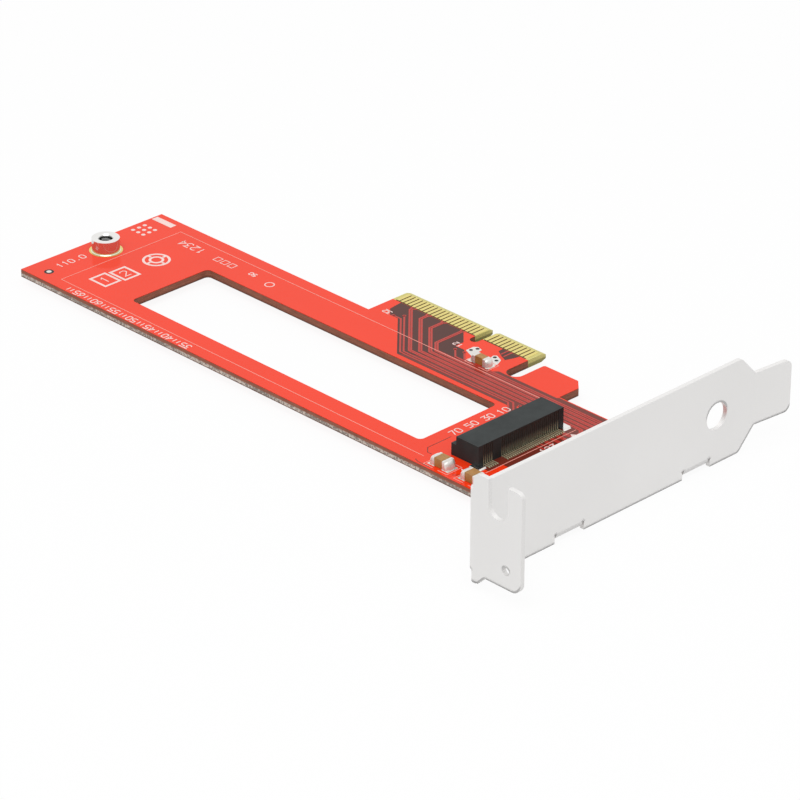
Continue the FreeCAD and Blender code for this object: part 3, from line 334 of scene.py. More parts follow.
# Stage, in metres: half the floor's side, the softbox and the camera's near and far limits; and the
# width of the camera's sensor in millimetres.
FLOOR_HALF = 6.0
SOFTBOX_PLACE = (-0.15, 0.3, 0.95)
CAMERA_NEAR = 0.01
CAMERA_FAR = 50.0
SENSOR_WIDTH = 36.0
WHITE = (1.0, 1.0, 1.0, 1.0)


def colour(name, description, default):
    """Colour that a user may change."""
    return bpy.props.FloatVectorProperty(
        name=name, description=description, subtype="COLOR", size=3, min=0.0, max=1.0, default=default
    )


def length(name, description, millimetres):
    """Length that a user may change, kept in metres."""
    return bpy.props.FloatProperty(
        name=name, description=description, unit="LENGTH", precision=5, min=0.0, default=millimetres * MM
    )


def angle(name, description, degrees):
    """Angle that a user may change."""
    return bpy.props.FloatProperty(
        name=name, description=description, subtype="ANGLE", default=math.radians(degrees)
    )


def number(name, description, default, **kind):
    """Plain number that a user may change, with its unit or subtype."""
    return bpy.props.FloatProperty(name=name, description=description, default=default, min=0.0, **kind)


def fraction(name, description, default):
    """Share from none to all that a user may change."""
    return number(name, description, default, max=1.0, subtype="FACTOR")


class BoardLook(bpy.types.PropertyGroup):
    """Colours and heights of the board, its copper and its print."""

    mask: colour("Mask on copper", "Solder mask over the copper areas", (0.88, 0.041, 0.007))
    bare_mask: colour("Mask on laminate", "Solder mask where there is no copper", (0.078, 0.016, 0.009))
    lane_mask: colour("Mask between lanes", "Solder mask between lanes and in gaps", (0.17, 0.026, 0.015))
    trace_mask: colour("Mask on traces", "Solder mask over the signal traces", (0.52, 0.045, 0.032))
    laminate: colour("Laminate", "Bare laminate at the card edge", (0.66, 0.60, 0.22))
    # Painted shadow in the gaps between the edge contacts.
    contact_gap: colour("Contact gap shadow", "Laminate between the edge contacts", (0.10, 0.06, 0.025))
    edge_dark: colour("Routed edge", "Laminate at the routed edges", (0.23, 0.082, 0.05))
    edge_pale: colour("Frayed fibres", "Pale streak along the scored front edge", (0.62, 0.53, 0.46))
    ink: colour("Print", "Printed figures and marks", (0.88, 0.66, 0.62))
    thin_ink: colour("Thin print", "Printed outlines, with the mask showing through", (0.88, 0.34, 0.28))
    mask_gloss: fraction("Mask specular", "Strength of the mask's own reflection", 0.19)
    field_height: length("Field height", "Top of the dark areas above the board", 0.008)
    trace_height: length("Trace height", "Top of a trace above the board", 0.03)
    ink_height: length("Print height", "Top of the print above the board", 0.045)
    pad_height: length("Pad height", "Top of a tinned pad above the board", 0.035)
    trace_width: length("Trace width", "Width of a signal trace", 0.35)
    clearance_width: length("Clearance width", "Width of a gap between copper areas", 0.16)
    line_width: length("Line width", "Width of a printed line", 0.14)
    figure_line: length("Figure line", "Width of the strokes of a figure", 0.2)
    mark_line: length("Mark line", "Width of the strokes of a large mark", 0.5)
    via_radius: length("Via radius", "Outer radius of a via's ring", 0.36)
    via_hole: length("Via hole", "Radius of a via's hole", 0.17)


class MetalLook(bpy.types.PropertyGroup):
    """Colours of plated metal, and sizes of the thread and the solder."""

    gold: colour("Contact gold", "Plating of the edge contacts", (0.82, 0.69, 0.23))
    spring: colour("Spring gold", "Plating of the socket's contacts", (0.44, 0.42, 0.28))
    tin: colour("Tin", "Bright tin plate", (0.86, 0.85, 0.83))
    solder: colour("Solder", "Solder and tinned ends of the capacitors", (0.80, 0.78, 0.74))
    dull_tin: colour("Dull tin", "Solder on the socket's tails", (0.44, 0.41, 0.28))
    steel: colour("Bracket steel", "Plated sheet of the bracket", (0.80, 0.79, 0.78))
    sheared: colour("Sheared edge", "Cut edges of the bracket's sheet", (0.64, 0.63, 0.62))
    screw: colour("Screw steel", "Plated fixing screws", (0.62, 0.61, 0.59))
    thread_pitch: length("Thread pitch", "Pitch of the standoff's thread", 0.5)
    thread_depth: length("Thread depth", "Depth of the standoff's thread", 0.13)
    solder_reach: length("Solder reach", "Reach of the solder beyond a capacitor's end", 0.75)
    solder_spread: length("Solder spread", "Solder beyond a capacitor's sides", 0.1)


class PartLook(bpy.types.PropertyGroup):
    """Colours of the moulded and fired parts."""

    plastic: colour("Socket plastic", "Moulded housing of the socket", (0.024, 0.028, 0.028))
    plastic_gloss: fraction("Plastic specular", "Strength of the moulding's own reflection", 0.11)
    ceramic: colour("Ceramic", "Fired body of a capacitor", (0.43, 0.205, 0.048))
    # Colour of the disk drawn as painted shade inside a via's hole.
    hole: colour("Via hole", "Inside of a via", (0.012, 0.008, 0.007))


class StageLook(bpy.types.PropertyGroup):
    """Camera, floor and lights."""

    azimuth: angle("Azimuth", "Direction that the camera looks from", 225.5638)
    elevation: angle("Elevation", "Height of the camera above the board", 27.6634)
    roll: angle("Roll", "Turn of the camera about its own axis", 0.1822)
    distance: length("Distance", "Camera to the point it looks at", 746.927)
    aim_x: length("Aim along", "Point looked at, along the board", 30.0)
    aim_y: length("Aim across", "Point looked at, across the board", 28.0)
    shift_right: length("Shift right", "Camera moved to its right", 23.209)
    shift_down: length("Shift down", "Camera moved down", 13.181)
    lens: number("Lens", "Focal length of the camera", 181.923, unit="CAMERA")
    floor: colour("Floor", "Floor under the card", (0.86, 0.86, 0.86))
    floor_glow: fraction("Floor glow", "Share of plain white in the floor", 0.92)
    ambient: number("Ambient", "Strength of the light from all round", 0.64)
    softbox_size: length("Softbox size", "Side of the square softbox overhead", 900.0)
    key_power: number("Softbox power", "Power of the softbox", 6.0, unit="POWER")


class Graph:
    """Adds and links the nodes of one shader tree."""

    MIX_A = 6
    MIX_B = 7
    MIX_RESULT = 2

    def __init__(self, tree):
        self.tree = tree

    def feed(self, socket, source):
        """Link a socket to another one, or set it to a plain value."""
        if isinstance(source, bpy.types.NodeSocket):
            self.tree.links.new(source, socket)
        else:
            socket.default_value = source

    def add(self, kind, inputs=(), **settings):
        node = self.tree.nodes.new(kind)
        for name, setting in settings.items():
            setattr(node, name, setting)
        for name, source in dict(inputs).items():
            self.feed(node.inputs[name], source)
        return node

    def math(self, operation, first, second=0.0):
        node = self.add("ShaderNodeMath", operation=operation)
        self.feed(node.inputs[0], first)
        self.feed(node.inputs[1], second)
        return node.outputs[0]

    def both(self, *masks):
        """One where every mask is one."""
        result = masks[0]
        for mask in masks[1:]:
            result = self.math("MULTIPLY", result, mask)
        return result

    def either(self, *masks):
        """One where any mask is one."""
        result = masks[0]
        for mask in masks[1:]:
            result = self.math("MAXIMUM", result, mask)
        return result

    def above(self, value, limit):
        return self.math("GREATER_THAN", value, limit)

    def below(self, value, limit):
        return self.math("LESS_THAN", value, limit)

    def inside(self, value, low, high):
        """One where a value lies between two limits."""
        return self.both(self.above(value, low), self.below(value, high))

    def remap(self, source, low, high, low_out=0.0, high_out=1.0):
        """Straight stretch of a value's range, clamped at both ends."""
        node = self.add("ShaderNodeMapRange", {
            "Value": source, "From Min": low, "From Max": high, "To Min": low_out, "To Max": high_out,
        })
        return node.outputs["Result"]

    def mix(self, factor, first, second):
        """Blend of two colours."""
        node = self.add("ShaderNodeMix", {"Factor": factor}, data_type="RGBA")
        self.feed(node.inputs[self.MIX_A], first)
        self.feed(node.inputs[self.MIX_B], second)
        return node.outputs[self.MIX_RESULT]

    def position(self):
        return self.add("ShaderNodeTexCoord").outputs["Object"]

    def split(self, vector):
        return self.add("ShaderNodeSeparateXYZ", {"Vector": vector}).outputs

    def normal(self):
        """Components of the surface's own direction."""
        return self.split(self.add("ShaderNodeNewGeometry").outputs["True Normal"])

    def bump(self, height, strength, distance):
        node = self.add("ShaderNodeBump", {"Height": height, "Strength": strength, "Distance": distance})
        return node.outputs["Normal"]

    def group(self, tree, inputs):
        return self.add("ShaderNodeGroup", inputs, node_tree=tree).outputs


def rgba(values, gain=1.0):
    return (*(min(1.0, value * gain) for value in values), 1.0)


def new_group(name, inputs, outputs):
    """Empty node group with named sockets, and the graph to fill it."""
    tree = bpy.data.node_groups.new(name, "ShaderNodeTree")
    for label, kind, default in inputs:
        socket = tree.interface.new_socket(label, in_out="INPUT", socket_type=kind)
        if default is not None:
            socket.default_value = default
    for label in outputs:
        tree.interface.new_socket(label, in_out="OUTPUT", socket_type="NodeSocketFloat")
    graph = Graph(tree)
    return tree, graph, graph.add("NodeGroupInput").outputs, graph.add("NodeGroupOutput").inputs


def surface_grain():
    """Group: fine grain and broad blotches, each from zero to one."""
    name = "Surface grain"
    if name in bpy.data.node_groups:
        return bpy.data.node_groups[name]
    tree, graph, given, result = new_group(
        name,
        (
            ("Position", "NodeSocketVector", None),
            ("Grain Scale", "NodeSocketFloat", 4000.0),
            ("Blotch Scale", "NodeSocketFloat", 120.0),
        ),
        ("Grain", "Blotch"),
    )
    for label, scale, detail in (("Grain", "Grain Scale", 3.0), ("Blotch", "Blotch Scale", 2.0)):
        noise = graph.add("ShaderNodeTexNoise", {
            "Vector": given["Position"], "Scale": given[scale], "Detail": detail,
        })
        graph.feed(result[label], graph.remap(noise.outputs["Fac"], 0.28, 0.72))
    return tree


def edge_wear():
    """Group: rims to brighten, as rubbed wear and painted highlight, broken up by the grain, and rims that
    turn to the ground, for painted shade.
    """
    name = "Edge wear"
    if name in bpy.data.node_groups:
        return bpy.data.node_groups[name]
    tree, graph, given, result = new_group(
        name,
        (
            ("Grain", "NodeSocketFloat", 0.5),
            ("Radius", "NodeSocketFloat", 0.0001),
        ),
        ("Wear", "Downward"),
    )
    rounded = graph.add("ShaderNodeBevel", {"Radius": given["Radius"]}, samples=4).outputs["Normal"]
    plain = graph.add("ShaderNodeNewGeometry").outputs["Normal"]
    facing = graph.add("ShaderNodeVectorMath", operation="DOT_PRODUCT")
    graph.feed(facing.inputs[0], rounded)
    graph.feed(facing.inputs[1], plain)
    turned = graph.remap(facing.outputs["Value"], 0.995, 0.8)
    broken = graph.remap(given["Grain"], 0.1, 0.7, 0.35, 1.0)
    graph.feed(result["Wear"], graph.both(turned, broken))
    upright = graph.split(plain)["Z"]
    drop = graph.math("SUBTRACT", graph.split(rounded)["Z"], upright)
    graph.feed(result["Downward"], graph.both(graph.below(upright, 0.02), graph.remap(drop, -0.05, -0.15)))
    return tree


def new_material(name):
    """Empty material with its Principled shader, and the graph to fill it."""
    material = bpy.data.materials.new(name)
    material.use_nodes = True
    material.node_tree.nodes.clear()
    graph = Graph(material.node_tree)
    shader = graph.add("ShaderNodeBsdfPrincipled")
    output = graph.add("ShaderNodeOutputMaterial")
    graph.feed(output.inputs["Surface"], shader.outputs["BSDF"])
    return material, graph, shader.inputs


def find_material(name, make, *details):
    """The material of that name, made on first use."""
    return bpy.data.materials.get(name) or make(name, *details)


def grained(graph, grain_scale, blotch_scale):
    """Grain and blotch masks over a material's surface."""
    given = {"Position": graph.position(), "Grain Scale": grain_scale, "Blotch Scale": blotch_scale}
    masks = graph.group(surface_grain(), given)
    return masks["Grain"], masks["Blotch"]


def finish(graph, shader, grain, roughness, bump, depth=0.01):
    """Roughness between two limits and a bump, both from the grain, with its depth in millimetres."""
    graph.feed(shader["Roughness"], graph.remap(grain, 0.0, 1.0, *roughness))
    graph.feed(shader["Normal"], graph.bump(grain, bump, depth * MM))


def make_board_material(name):
    """Red mask on both faces, bare laminate at the card edge with painted shadow between the contacts and
    painted shade low on its walls, routed or scored fibres on the other walls.
    """
    look = bpy.context.scene.card_board
    material, graph, shader = new_material(name)
    grain, blotch = grained(graph, *BOARD_GRAIN)
    x, y, z = graph.split(graph.position())[:3]
    across = graph.math("ABSOLUTE", x)
    face = graph.above(graph.math("ABSOLUTE", graph.normal()["Z"]), 0.97)
    tongue = graph.both(graph.below(y, EDGE_MASK_LINE * MM), graph.above(x, CARD_EDGE_END * MM))
    masked = graph.both(face, graph.math("SUBTRACT", 1.0, tongue))
    # Gaps between the edge contacts, darkened as painted shadow.
    between = graph.both(
        face, graph.above(across, FIRST_EDGE_CONTACT * MM),
        graph.inside(x, contacts_low.x * MM, contacts_high.x * MM), graph.above(y, contacts_low.y * MM),
    )

    rise = graph.remap(z, UNDER * MM, TOP * MM)
    streaks = graph.add("ShaderNodeMapping", {
        "Vector": graph.position(), "Scale": (420.0, 420.0, 5200.0),
    })
    fibres = graph.add("ShaderNodeTexNoise", {
        "Vector": streaks.outputs["Vector"], "Scale": 1.0, "Detail": 4.0, "Roughness": 0.65,
    }).outputs["Fac"]
    scored = graph.above(y, (board_high.y - SCORED_DEPTH) * MM)
    streak = graph.both(graph.remap(rise, 0.06, 0.16), graph.remap(rise, 0.6, 0.4))
    specks = graph.add("ShaderNodeTexNoise", {
        "Vector": graph.position(), "Scale": 3000.0, "Detail": 2.0,
    }).outputs["Fac"]
    clusters = graph.remap(blotch, 0.3, 0.6, 0.12, 0.0)
    frayed = graph.both(scored, streak, graph.remap(graph.math("SUBTRACT", specks, clusters), 0.4, 0.56))
    wall = graph.mix(graph.remap(fibres, 0.3, 0.7), rgba(look.edge_dark, 0.8), rgba(look.edge_dark, 1.5))
    wall = graph.mix(graph.remap(rise, 0.35, 0.0), wall, rgba(look.edge_dark, 0.45))
    wall = graph.mix(graph.both(scored, streak), wall, rgba(look.edge_pale, 0.4))
    wall = graph.mix(frayed, wall, rgba(look.edge_pale))
    wall = graph.mix(graph.above(rise, 0.93), wall, rgba(look.mask, 0.5))

    coat = graph.mix(blotch, rgba(look.mask), rgba(look.mask, 0.95))
    bare = graph.mix(grain, rgba(look.laminate), rgba(look.laminate, 0.85))
    bare = graph.mix(between, bare, rgba(look.contact_gap))
    # Painted shade on the lower half of the card edge's walls.
    lower_wall_shade = graph.both(graph.math("SUBTRACT", 1.0, face), graph.remap(rise, 0.6, 0.4))
    bare = graph.mix(lower_wall_shade, bare, rgba(look.laminate, 0.42))
    surface = graph.mix(tongue, wall, bare)
    graph.feed(shader["Base Color"], graph.mix(masked, surface, coat))
    gloss = graph.remap(grain, 0.0, 1.0, 0.06, 0.1)
    rough = graph.remap(fibres, 0.0, 1.0, 0.45, 0.8)
    graph.feed(shader["Roughness"], graph.remap(masked, 0.0, 1.0, rough, gloss))
    shader["Specular IOR Level"].default_value = look.mask_gloss
    height = graph.remap(masked, 0.0, 1.0, fibres, graph.math("MULTIPLY", grain, 0.04))
    graph.feed(shader["Normal"], graph.bump(height, 0.25, 0.03 * MM))
    return material


def make_mask_material(name, tint):
    """Glossy mask of one tint, for traces and for areas without copper."""
    material, graph, shader = new_material(name)
    grain, blotch = grained(graph, *MASK_GRAIN)
    graph.feed(shader["Base Color"], graph.mix(blotch, rgba(tint), rgba(tint, 0.86)))
    shader["Specular IOR Level"].default_value = bpy.context.scene.card_board.mask_gloss
    finish(graph, shader, grain, roughness=(0.08, 0.14), bump=0.06)
    return material


def make_ink_material(name, tint):
    """Slightly thin, chalky print."""
    material, graph, shader = new_material(name)
    grain, blotch = grained(graph, *INK_GRAIN)
    worn = graph.both(grain, graph.remap(blotch, 0.3, 1.0))
    graph.feed(shader["Base Color"], graph.mix(worn, rgba(tint), rgba(tint, 0.88)))
    finish(graph, shader, grain, roughness=(0.45, 0.65), bump=0.15)
    return material


def make_metal_material(name, tint, gloss, grain_height=0.12, metallic=1.0):
    """Plated metal with a little grain, and brighter at its rims, partly rubbed wear and partly painted
    highlight.
    """
    material, graph, shader = new_material(name)
    grain, blotch = grained(graph, *METAL_GRAIN)
    # Rims brightened as rubbed wear and painted highlight.
    wear_and_highlight = graph.group(edge_wear(), {"Grain": grain, "Radius": PLATED_WEAR_AND_HIGHLIGHT * MM})["Wear"]
    plate = graph.mix(blotch, rgba(tint), rgba(tint, 0.9))
    graph.feed(shader["Base Color"], graph.mix(wear_and_highlight, plate, rgba(tint, 1.12)))
    shader["Metallic"].default_value = metallic
    finish(graph, shader, grain, roughness=(gloss, gloss + 0.12), bump=grain_height)
    return material


def make_spring_material(name):
    """Gold-plated spring strip, darkened as painted shade where it runs up under the socket's roof."""
    tint = bpy.context.scene.card_metal.spring
    material, graph, shader = new_material(name)
    grain, blotch = grained(graph, *METAL_GRAIN)
    z = graph.split(graph.position())["Z"]
    # Painted shade on the contacts under the socket's roof.
    roof = graph.remap(z, *((housing_high.z - depth) * MM for depth in CONTACT_SHADE))
    strip = graph.mix(blotch, rgba(tint), rgba(tint, 0.86))
    graph.feed(shader["Base Color"], graph.mix(roof, strip, rgba(tint, 0.08)))
    shader["Metallic"].default_value = 0.4
    finish(graph, shader, grain, roughness=(0.4, 0.52), bump=0.12)
    return material


def make_standoff_material(name):
    """Bright tin on a turned sleeve, darker on its side and down the bore as painted shade."""
    tint = bpy.context.scene.card_metal.tin
    material, graph, shader = new_material(name)
    grain, blotch = grained(graph, *METAL_GRAIN)
    x, y = graph.split(graph.position())[:2]
    from_x = graph.math("SUBTRACT", x, STANDOFF.x * MM)
    from_y = graph.math("SUBTRACT", y, STANDOFF.y * MM)
    radius = graph.math("SQRT", graph.math("ADD", graph.both(from_x, from_x), graph.both(from_y, from_y)))
    # Painted shade down the bore.
    bore = graph.below(radius, (STANDOFF_BORE + BORE_RIM) * MM)
    # Rims brightened as rubbed wear and painted highlight.
    wear_and_highlight = graph.group(edge_wear(), {"Grain": grain, "Radius": TURNED_WEAR_AND_HIGHLIGHT * MM})["Wear"]
    plate = graph.mix(blotch, rgba(tint), rgba(tint, 0.94))
    # Painted shade on the sleeve's side.
    side = graph.below(graph.math("ABSOLUTE", graph.normal()["Z"]), 0.5)
    plate = graph.mix(side, plate, rgba(tint, 0.78))
    plate = graph.mix(wear_and_highlight, plate, rgba(tint, 1.1))
    graph.feed(shader["Base Color"], graph.mix(bore, plate, rgba(tint, 0.3)))
    shader["Metallic"].default_value = 1.0
    graph.feed(shader["Roughness"], graph.remap(grain, 0.0, 1.0, 0.1, 0.16))
    return material


def make_bracket_material(name):
    """Satin plated sheet, greyer on its sheared edges, with a painted highlight where they face up and
    painted shade along its lower rims.
    """
    look = bpy.context.scene.card_metal
    material, graph, shader = new_material(name)
    grain, blotch = grained(graph, *SHEET_GRAIN)
    x, y = graph.split(graph.position())[:2]
    normal = graph.normal()
    side_x, side_y, side_z = (graph.math("ABSOLUTE", part) for part in normal[:3])
    flange_x = (PLATE_FACE - FLANGE_BEND) * MM
    plate = graph.inside(x, flange_x, (PLATE_FACE + SHEET + 2 * SUNK) * MM)
    before_bend = graph.below(y, (bracket_high.y - PLATE_BEND) * MM)
    plate_edge = graph.both(plate, before_bend, graph.below(side_x, 0.4))
    past_bend = graph.both(graph.below(x, flange_x), graph.below(side_y, 0.4))
    flange_edge = graph.math("MULTIPLY", past_bend, 0.5)
    tab = graph.above(x, (PLATE_FACE + SHEET + TAB_BEND) * MM)
    tab_edge = graph.both(tab, graph.below(side_z, 0.4))
    sheared = graph.either(plate_edge, flange_edge, tab_edge)

    rims = graph.group(edge_wear(), {"Grain": grain, "Radius": BRACKET_RIM * MM})
    satin = graph.mix(blotch, rgba(look.steel), rgba(look.steel, 0.975))
    # Rims that turn to the ground, darkened almost to black as painted shade.
    satin = graph.mix(rims["Downward"], satin, rgba(look.steel, 0.12))
    cut = graph.mix(grain, rgba(look.sheared), rgba(look.sheared, 1.25))
    # Cut edges that face up take the plate's colour as a painted highlight.
    cut = graph.mix(graph.remap(normal["Z"], 0.3, 0.9), cut, rgba(look.steel))
    graph.feed(shader["Base Color"], graph.mix(sheared, satin, cut))
    shader["Metallic"].default_value = 0.7
    rough = graph.remap(grain, 0.0, 1.0, 0.34, 0.44)
    graph.feed(shader["Roughness"], graph.remap(sheared, 0.0, 1.0, rough, 0.5))
    graph.feed(shader["Normal"], graph.bump(grain, 0.1, 0.01 * MM))
    return material


def make_plastic_material(name):
    """Fine-grained black moulding, greyer at its rims as painted highlight."""
    look = bpy.context.scene.card_parts
    material, graph, shader = new_material(name)
    grain, blotch = grained(graph, *PLASTIC_GRAIN)
    # Rims brightened as painted highlight.
    wear_and_highlight = graph.group(edge_wear(), {"Grain": grain, "Radius": MOULDED_HIGHLIGHT * MM})["Wear"]
    body = graph.mix(blotch, rgba(look.plastic), rgba(look.plastic, 1.5))
    graph.feed(shader["Base Color"], graph.mix(wear_and_highlight, body, rgba(look.plastic, 2.2)))
    shader["Specular IOR Level"].default_value = look.plastic_gloss
    finish(graph, shader, grain, roughness=(0.34, 0.5), bump=0.22, depth=0.02)
    return material


def make_ceramic_material(name):
    """Fired tan body with darker specks."""
    tint = bpy.context.scene.card_parts.ceramic
    material, graph, shader = new_material(name)
    grain, blotch = grained(graph, *CERAMIC_GRAIN)
    specks = graph.remap(grain, 0.75, 0.95)
    body = graph.mix(blotch, rgba(tint), rgba(tint, 0.75))
    graph.feed(shader["Base Color"], graph.mix(specks, body, rgba(tint, 0.5)))
    finish(graph, shader, grain, roughness=(0.35, 0.55), bump=0.2, depth=0.02)
    return material


def make_hole_material(name):
    """Near-black disk as painted shade inside a via's hole."""
    tint = bpy.context.scene.card_parts.hole
    material, graph, shader = new_material(name)
    grain, blotch = grained(graph, *HOLE_GRAIN)
    graph.feed(shader["Base Color"], graph.mix(blotch, rgba(tint), rgba(tint, 2.0)))
    graph.feed(shader["Roughness"], graph.remap(grain, 0.0, 1.0, 0.5, 0.8))
    return material


def metal(kind):
    """Plated metal or solder, by the name of its colour."""
    label, *details = METAL_FINISHES[kind]
    tint = getattr(bpy.context.scene.card_metal, kind)
    return find_material(label, make_metal_material, tint, *details)


def mask(kind):
    """Mask of one tint, by the name of its colour."""
    return find_material(MASK_FINISHES[kind], make_mask_material, getattr(bpy.context.scene.card_board, kind))


def dress(node, material):
    """Give a node's object one material."""
    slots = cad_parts[node].data.materials
    slots.clear()
    slots.append(material)


def new_piece(name, parts, material, smooth_angle=None):
    """Turn a bmesh drawn in millimetres into a piece that rides on the card."""
    bmesh.ops.recalc_face_normals(parts, faces=parts.faces)
    mesh = bpy.data.meshes.new(name)
    parts.to_mesh(mesh)
    parts.free()
    mesh.transform(Matrix.Scale(MM, 4))
    mesh.materials.append(material)
    if smooth_angle is not None:
        mesh.shade_smooth()
        mesh.set_sharp_from_angle(angle=smooth_angle)
    piece = bpy.data.objects.new(name, mesh)
    bpy.context.scene.collection.objects.link(piece)
    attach(piece, BODY)


def add_prism(parts, outline, low, high):
    """Closed prism over an outline of (x, y) points."""
    bottom = [parts.verts.new((x, y, low)) for x, y in outline]
    top = [parts.verts.new((x, y, high)) for x, y in outline]
    parts.faces.new(reversed(bottom))
    parts.faces.new(top)
    for index in range(len(outline)):
        after = (index + 1) % len(outline)
        parts.faces.new((bottom[index], bottom[after], top[after], top[index]))


def beside(points, offset, closed=False):
    """Path moved sideways by an offset, with mitred corners."""
    moved = []
    count = len(points)
    for index, point in enumerate(points):
        before = points[index - 1] if closed or index else point
        after = points[(index + 1) % count] if closed or index < count - 1 else point
        legs = (point - before, after - point)
        ways = [leg.normalized() for leg in legs if leg.length > 0.0]
        sides = [Vector((-way.y, way.x)) for way in ways]
        middle = sum(sides, Vector((0.0, 0.0))).normalized()
        moved.append(point + middle * offset / max(SHARPEST_MITRE, middle.dot(sides[0])))
    return moved


def add_ribbon(parts, points, width, low, high, closed=False):
    """Flat strip with mitred corners along points in the board's plane."""
    points = [Vector(point) for point in points]
    left = beside(points, width / 2, closed)
    right = beside(points, -width / 2, closed)
    rails = []
    for here, there in zip(left, right):
        corners = ((*here, low), (*here, high), (*there, high), (*there, low))
        rails.append([parts.verts.new(corner) for corner in corners])
    count = len(rails)
    for index in range(count if closed else count - 1):
        join_rows(parts, rails[index], rails[(index + 1) % count])
    if not closed:
        parts.faces.new(rails[0])
        parts.faces.new(reversed(rails[-1]))


def join_rows(parts, here, there):
    """Faces between two closed rows of as many vertices."""
    for corner in range(len(here)):
        after = (corner + 1) % len(here)
        parts.faces.new((here[corner], here[after], there[after], there[corner]))


def circle(centre, radius, steps=24):
    turns = (2 * math.pi * step / steps for step in range(steps))
    return [Vector(centre) + radius * Vector((math.cos(turn), math.sin(turn))) for turn in turns]


def rectangle(centre, size_x, size_y):
    x, y = centre
    return [
        (x - size_x / 2, y - size_y / 2), (x + size_x / 2, y - size_y / 2),
        (x + size_x / 2, y + size_y / 2), (x - size_x / 2, y + size_y / 2),
    ]


def add_number(parts, text, middle, height, reading, width, low, high):
    """Row of stroked figures centred on a point and read along an angle."""
    unit = height / FIGURE_HEIGHT
    across = Vector((math.cos(reading), math.sin(reading)))
    up = Vector((-across.y, across.x))
    run = (len(text) - 1) * FIGURE_ADVANCE + FIGURE_WIDTH
    corner = Vector(middle) - across * unit * run / 2 - up * height / 2
    for place, figure in enumerate(text):
        for stroke in FIGURES[figure]:
            start = corner + across * unit * place * FIGURE_ADVANCE
            points = [start + across * unit * u + up * unit * v for u, v in stroke]
            closed = stroke[0] == stroke[-1]
            add_ribbon(parts, points[:-1] if closed else points, width, low, high, closed)


def add_fillet(parts, foot, outward, width, height, reach, base, steps=4):
    """Solder that climbs from the board up a metal end, hollow towards the corner."""
    outward = Vector(outward)
    side = Vector((-outward.y, outward.x)) * width / 2
    rows = []
    for step in range(steps + 1):
        share = step / steps
        out = Vector(foot) + outward * reach * share
        rise = base + height * (1.0 - share) ** FILLET_HOLLOW + FILLET_LIP
        wide = side * (1.0 - FILLET_TAPER * share ** 2)
        crest = wide * FILLET_CREST
        corners = ((out + wide, base), (out + crest, rise), (out - crest, rise), (out - wide, base))
        rows.append([parts.verts.new((*place, z)) for place, z in corners])
    for here, there in zip(rows, rows[1:]):
        join_rows(parts, here, there)
    parts.faces.new(rows[0])
    parts.faces.new(reversed(rows[-1]))


def add_blob(parts, foot, outward, width, height, reach, base, steps=24):
    """Full, rounded solder over a metal end, flat on the board and against the metal."""
    outward = Vector(outward)
    side = Vector((-outward.y, outward.x)) * width / 2
    rows = []
    for rise_step in range(steps // 2 + 1):
        lift = math.pi / 2 * rise_step / (steps // 2)
        row = []
        for step in range(steps + 1):
            turn = math.pi * step / steps
            out = reach * math.sin(turn) ** BLOB_PLAN * math.cos(lift) ** BLOB_CROWN
            place = Vector(foot) + outward * out - side * math.cos(turn)
            rise = height * math.sin(lift) * (1.0 - BLOB_FALL * math.cos(turn) ** 4)
            row.append((*place, base + rise))
        rows.append([parts.verts.new(corner) for corner in row])
    for here, there in zip(rows, rows[1:]):
        for step in range(steps):
            parts.faces.new((here[step], here[step + 1], there[step + 1], there[step]))
    parts.faces.new(rows[0])
    parts.faces.new([row[0] for row in rows] + rows[-1][1:-1] + [row[-1] for row in reversed(rows)])


def add_turned(parts, centre, profile, steps=48):
    """Ring turned about an upright axis from a closed profile of (radius, height) points."""
    rings = []
    for step in range(steps):
        turn = 2 * math.pi * step / steps
        way = Vector((math.cos(turn), math.sin(turn)))
        rings.append([parts.verts.new((*(centre + way * radius), rise)) for radius, rise in profile])
    for step in range(steps):
        join_rows(parts, rings[step], rings[(step + 1) % steps])


def add_thread(parts, centre, radius, depth, pitch, low, high, steps=28):
    """Ridge that winds up the wall of a bore."""
    rows = []
    for step in range(int((high - low) / pitch - 1) * steps + 1):
        turn = 2 * math.pi * step / steps
        way = Vector((math.cos(turn), math.sin(turn)))
        rise = low + pitch * step / steps
        ridge = (
            (radius + SUNK, 0.0), (radius - depth, pitch * RIDGE_MIDDLE), (radius + SUNK, pitch * RIDGE_END)
        )
        rows.append([parts.verts.new((*(centre + way * out), rise + lift)) for out, lift in ridge])
    for here, there in zip(rows, rows[1:]):
        join_rows(parts, here, there)
    parts.faces.new(rows[0])
    parts.faces.new(reversed(rows[-1]))


def level(height):
    """Height of a layer on the component side, from a length in metres."""
    return TOP + height / MM


def trace_routes():
    """Every trace as a list of points, from the card edge to the socket."""
    routes = []
    for index, (start, lane, count) in enumerate(TRACES):
        last_x, last_y = start[-1]
        route = [*start, (last_x - (lane - last_y), lane)]
        if index < len(FRONT_ENDS):
            turn_x, row = FRONT_ENDS[index]
            route += [(turn_x, lane), (turn_x - (row - lane), row), (lower_high.x - FRONT_LAP, row)]
        else:
            turn_x, row = REAR_ENDS[index - len(FRONT_ENDS)]
            far_x = turn_x - TURN_CUT
            route += [
                (turn_x, lane), (far_x, lane + TURN_CUT), (far_x, row - TURN_CUT), (turn_x, row),
                (upper_low.x + REAR_LAP, row),
            ]
        route = [Vector(point) for point in route]
        if count == 1:
            routes.append(route)
            continue
        for side in (-1, 1):
            lead_x = start[0][0] - side * EDGE_PITCH / 2
            lead = [Vector((lead_x, contacts_high.y)), Vector((lead_x, contacts_high.y + EDGE_LEAD))]
            routes.append(lead + beside(route, side * PAIR_PITCH / 2))
    return routes + [[Vector(point) for point in stub] for stub in EDGE_STUBS]


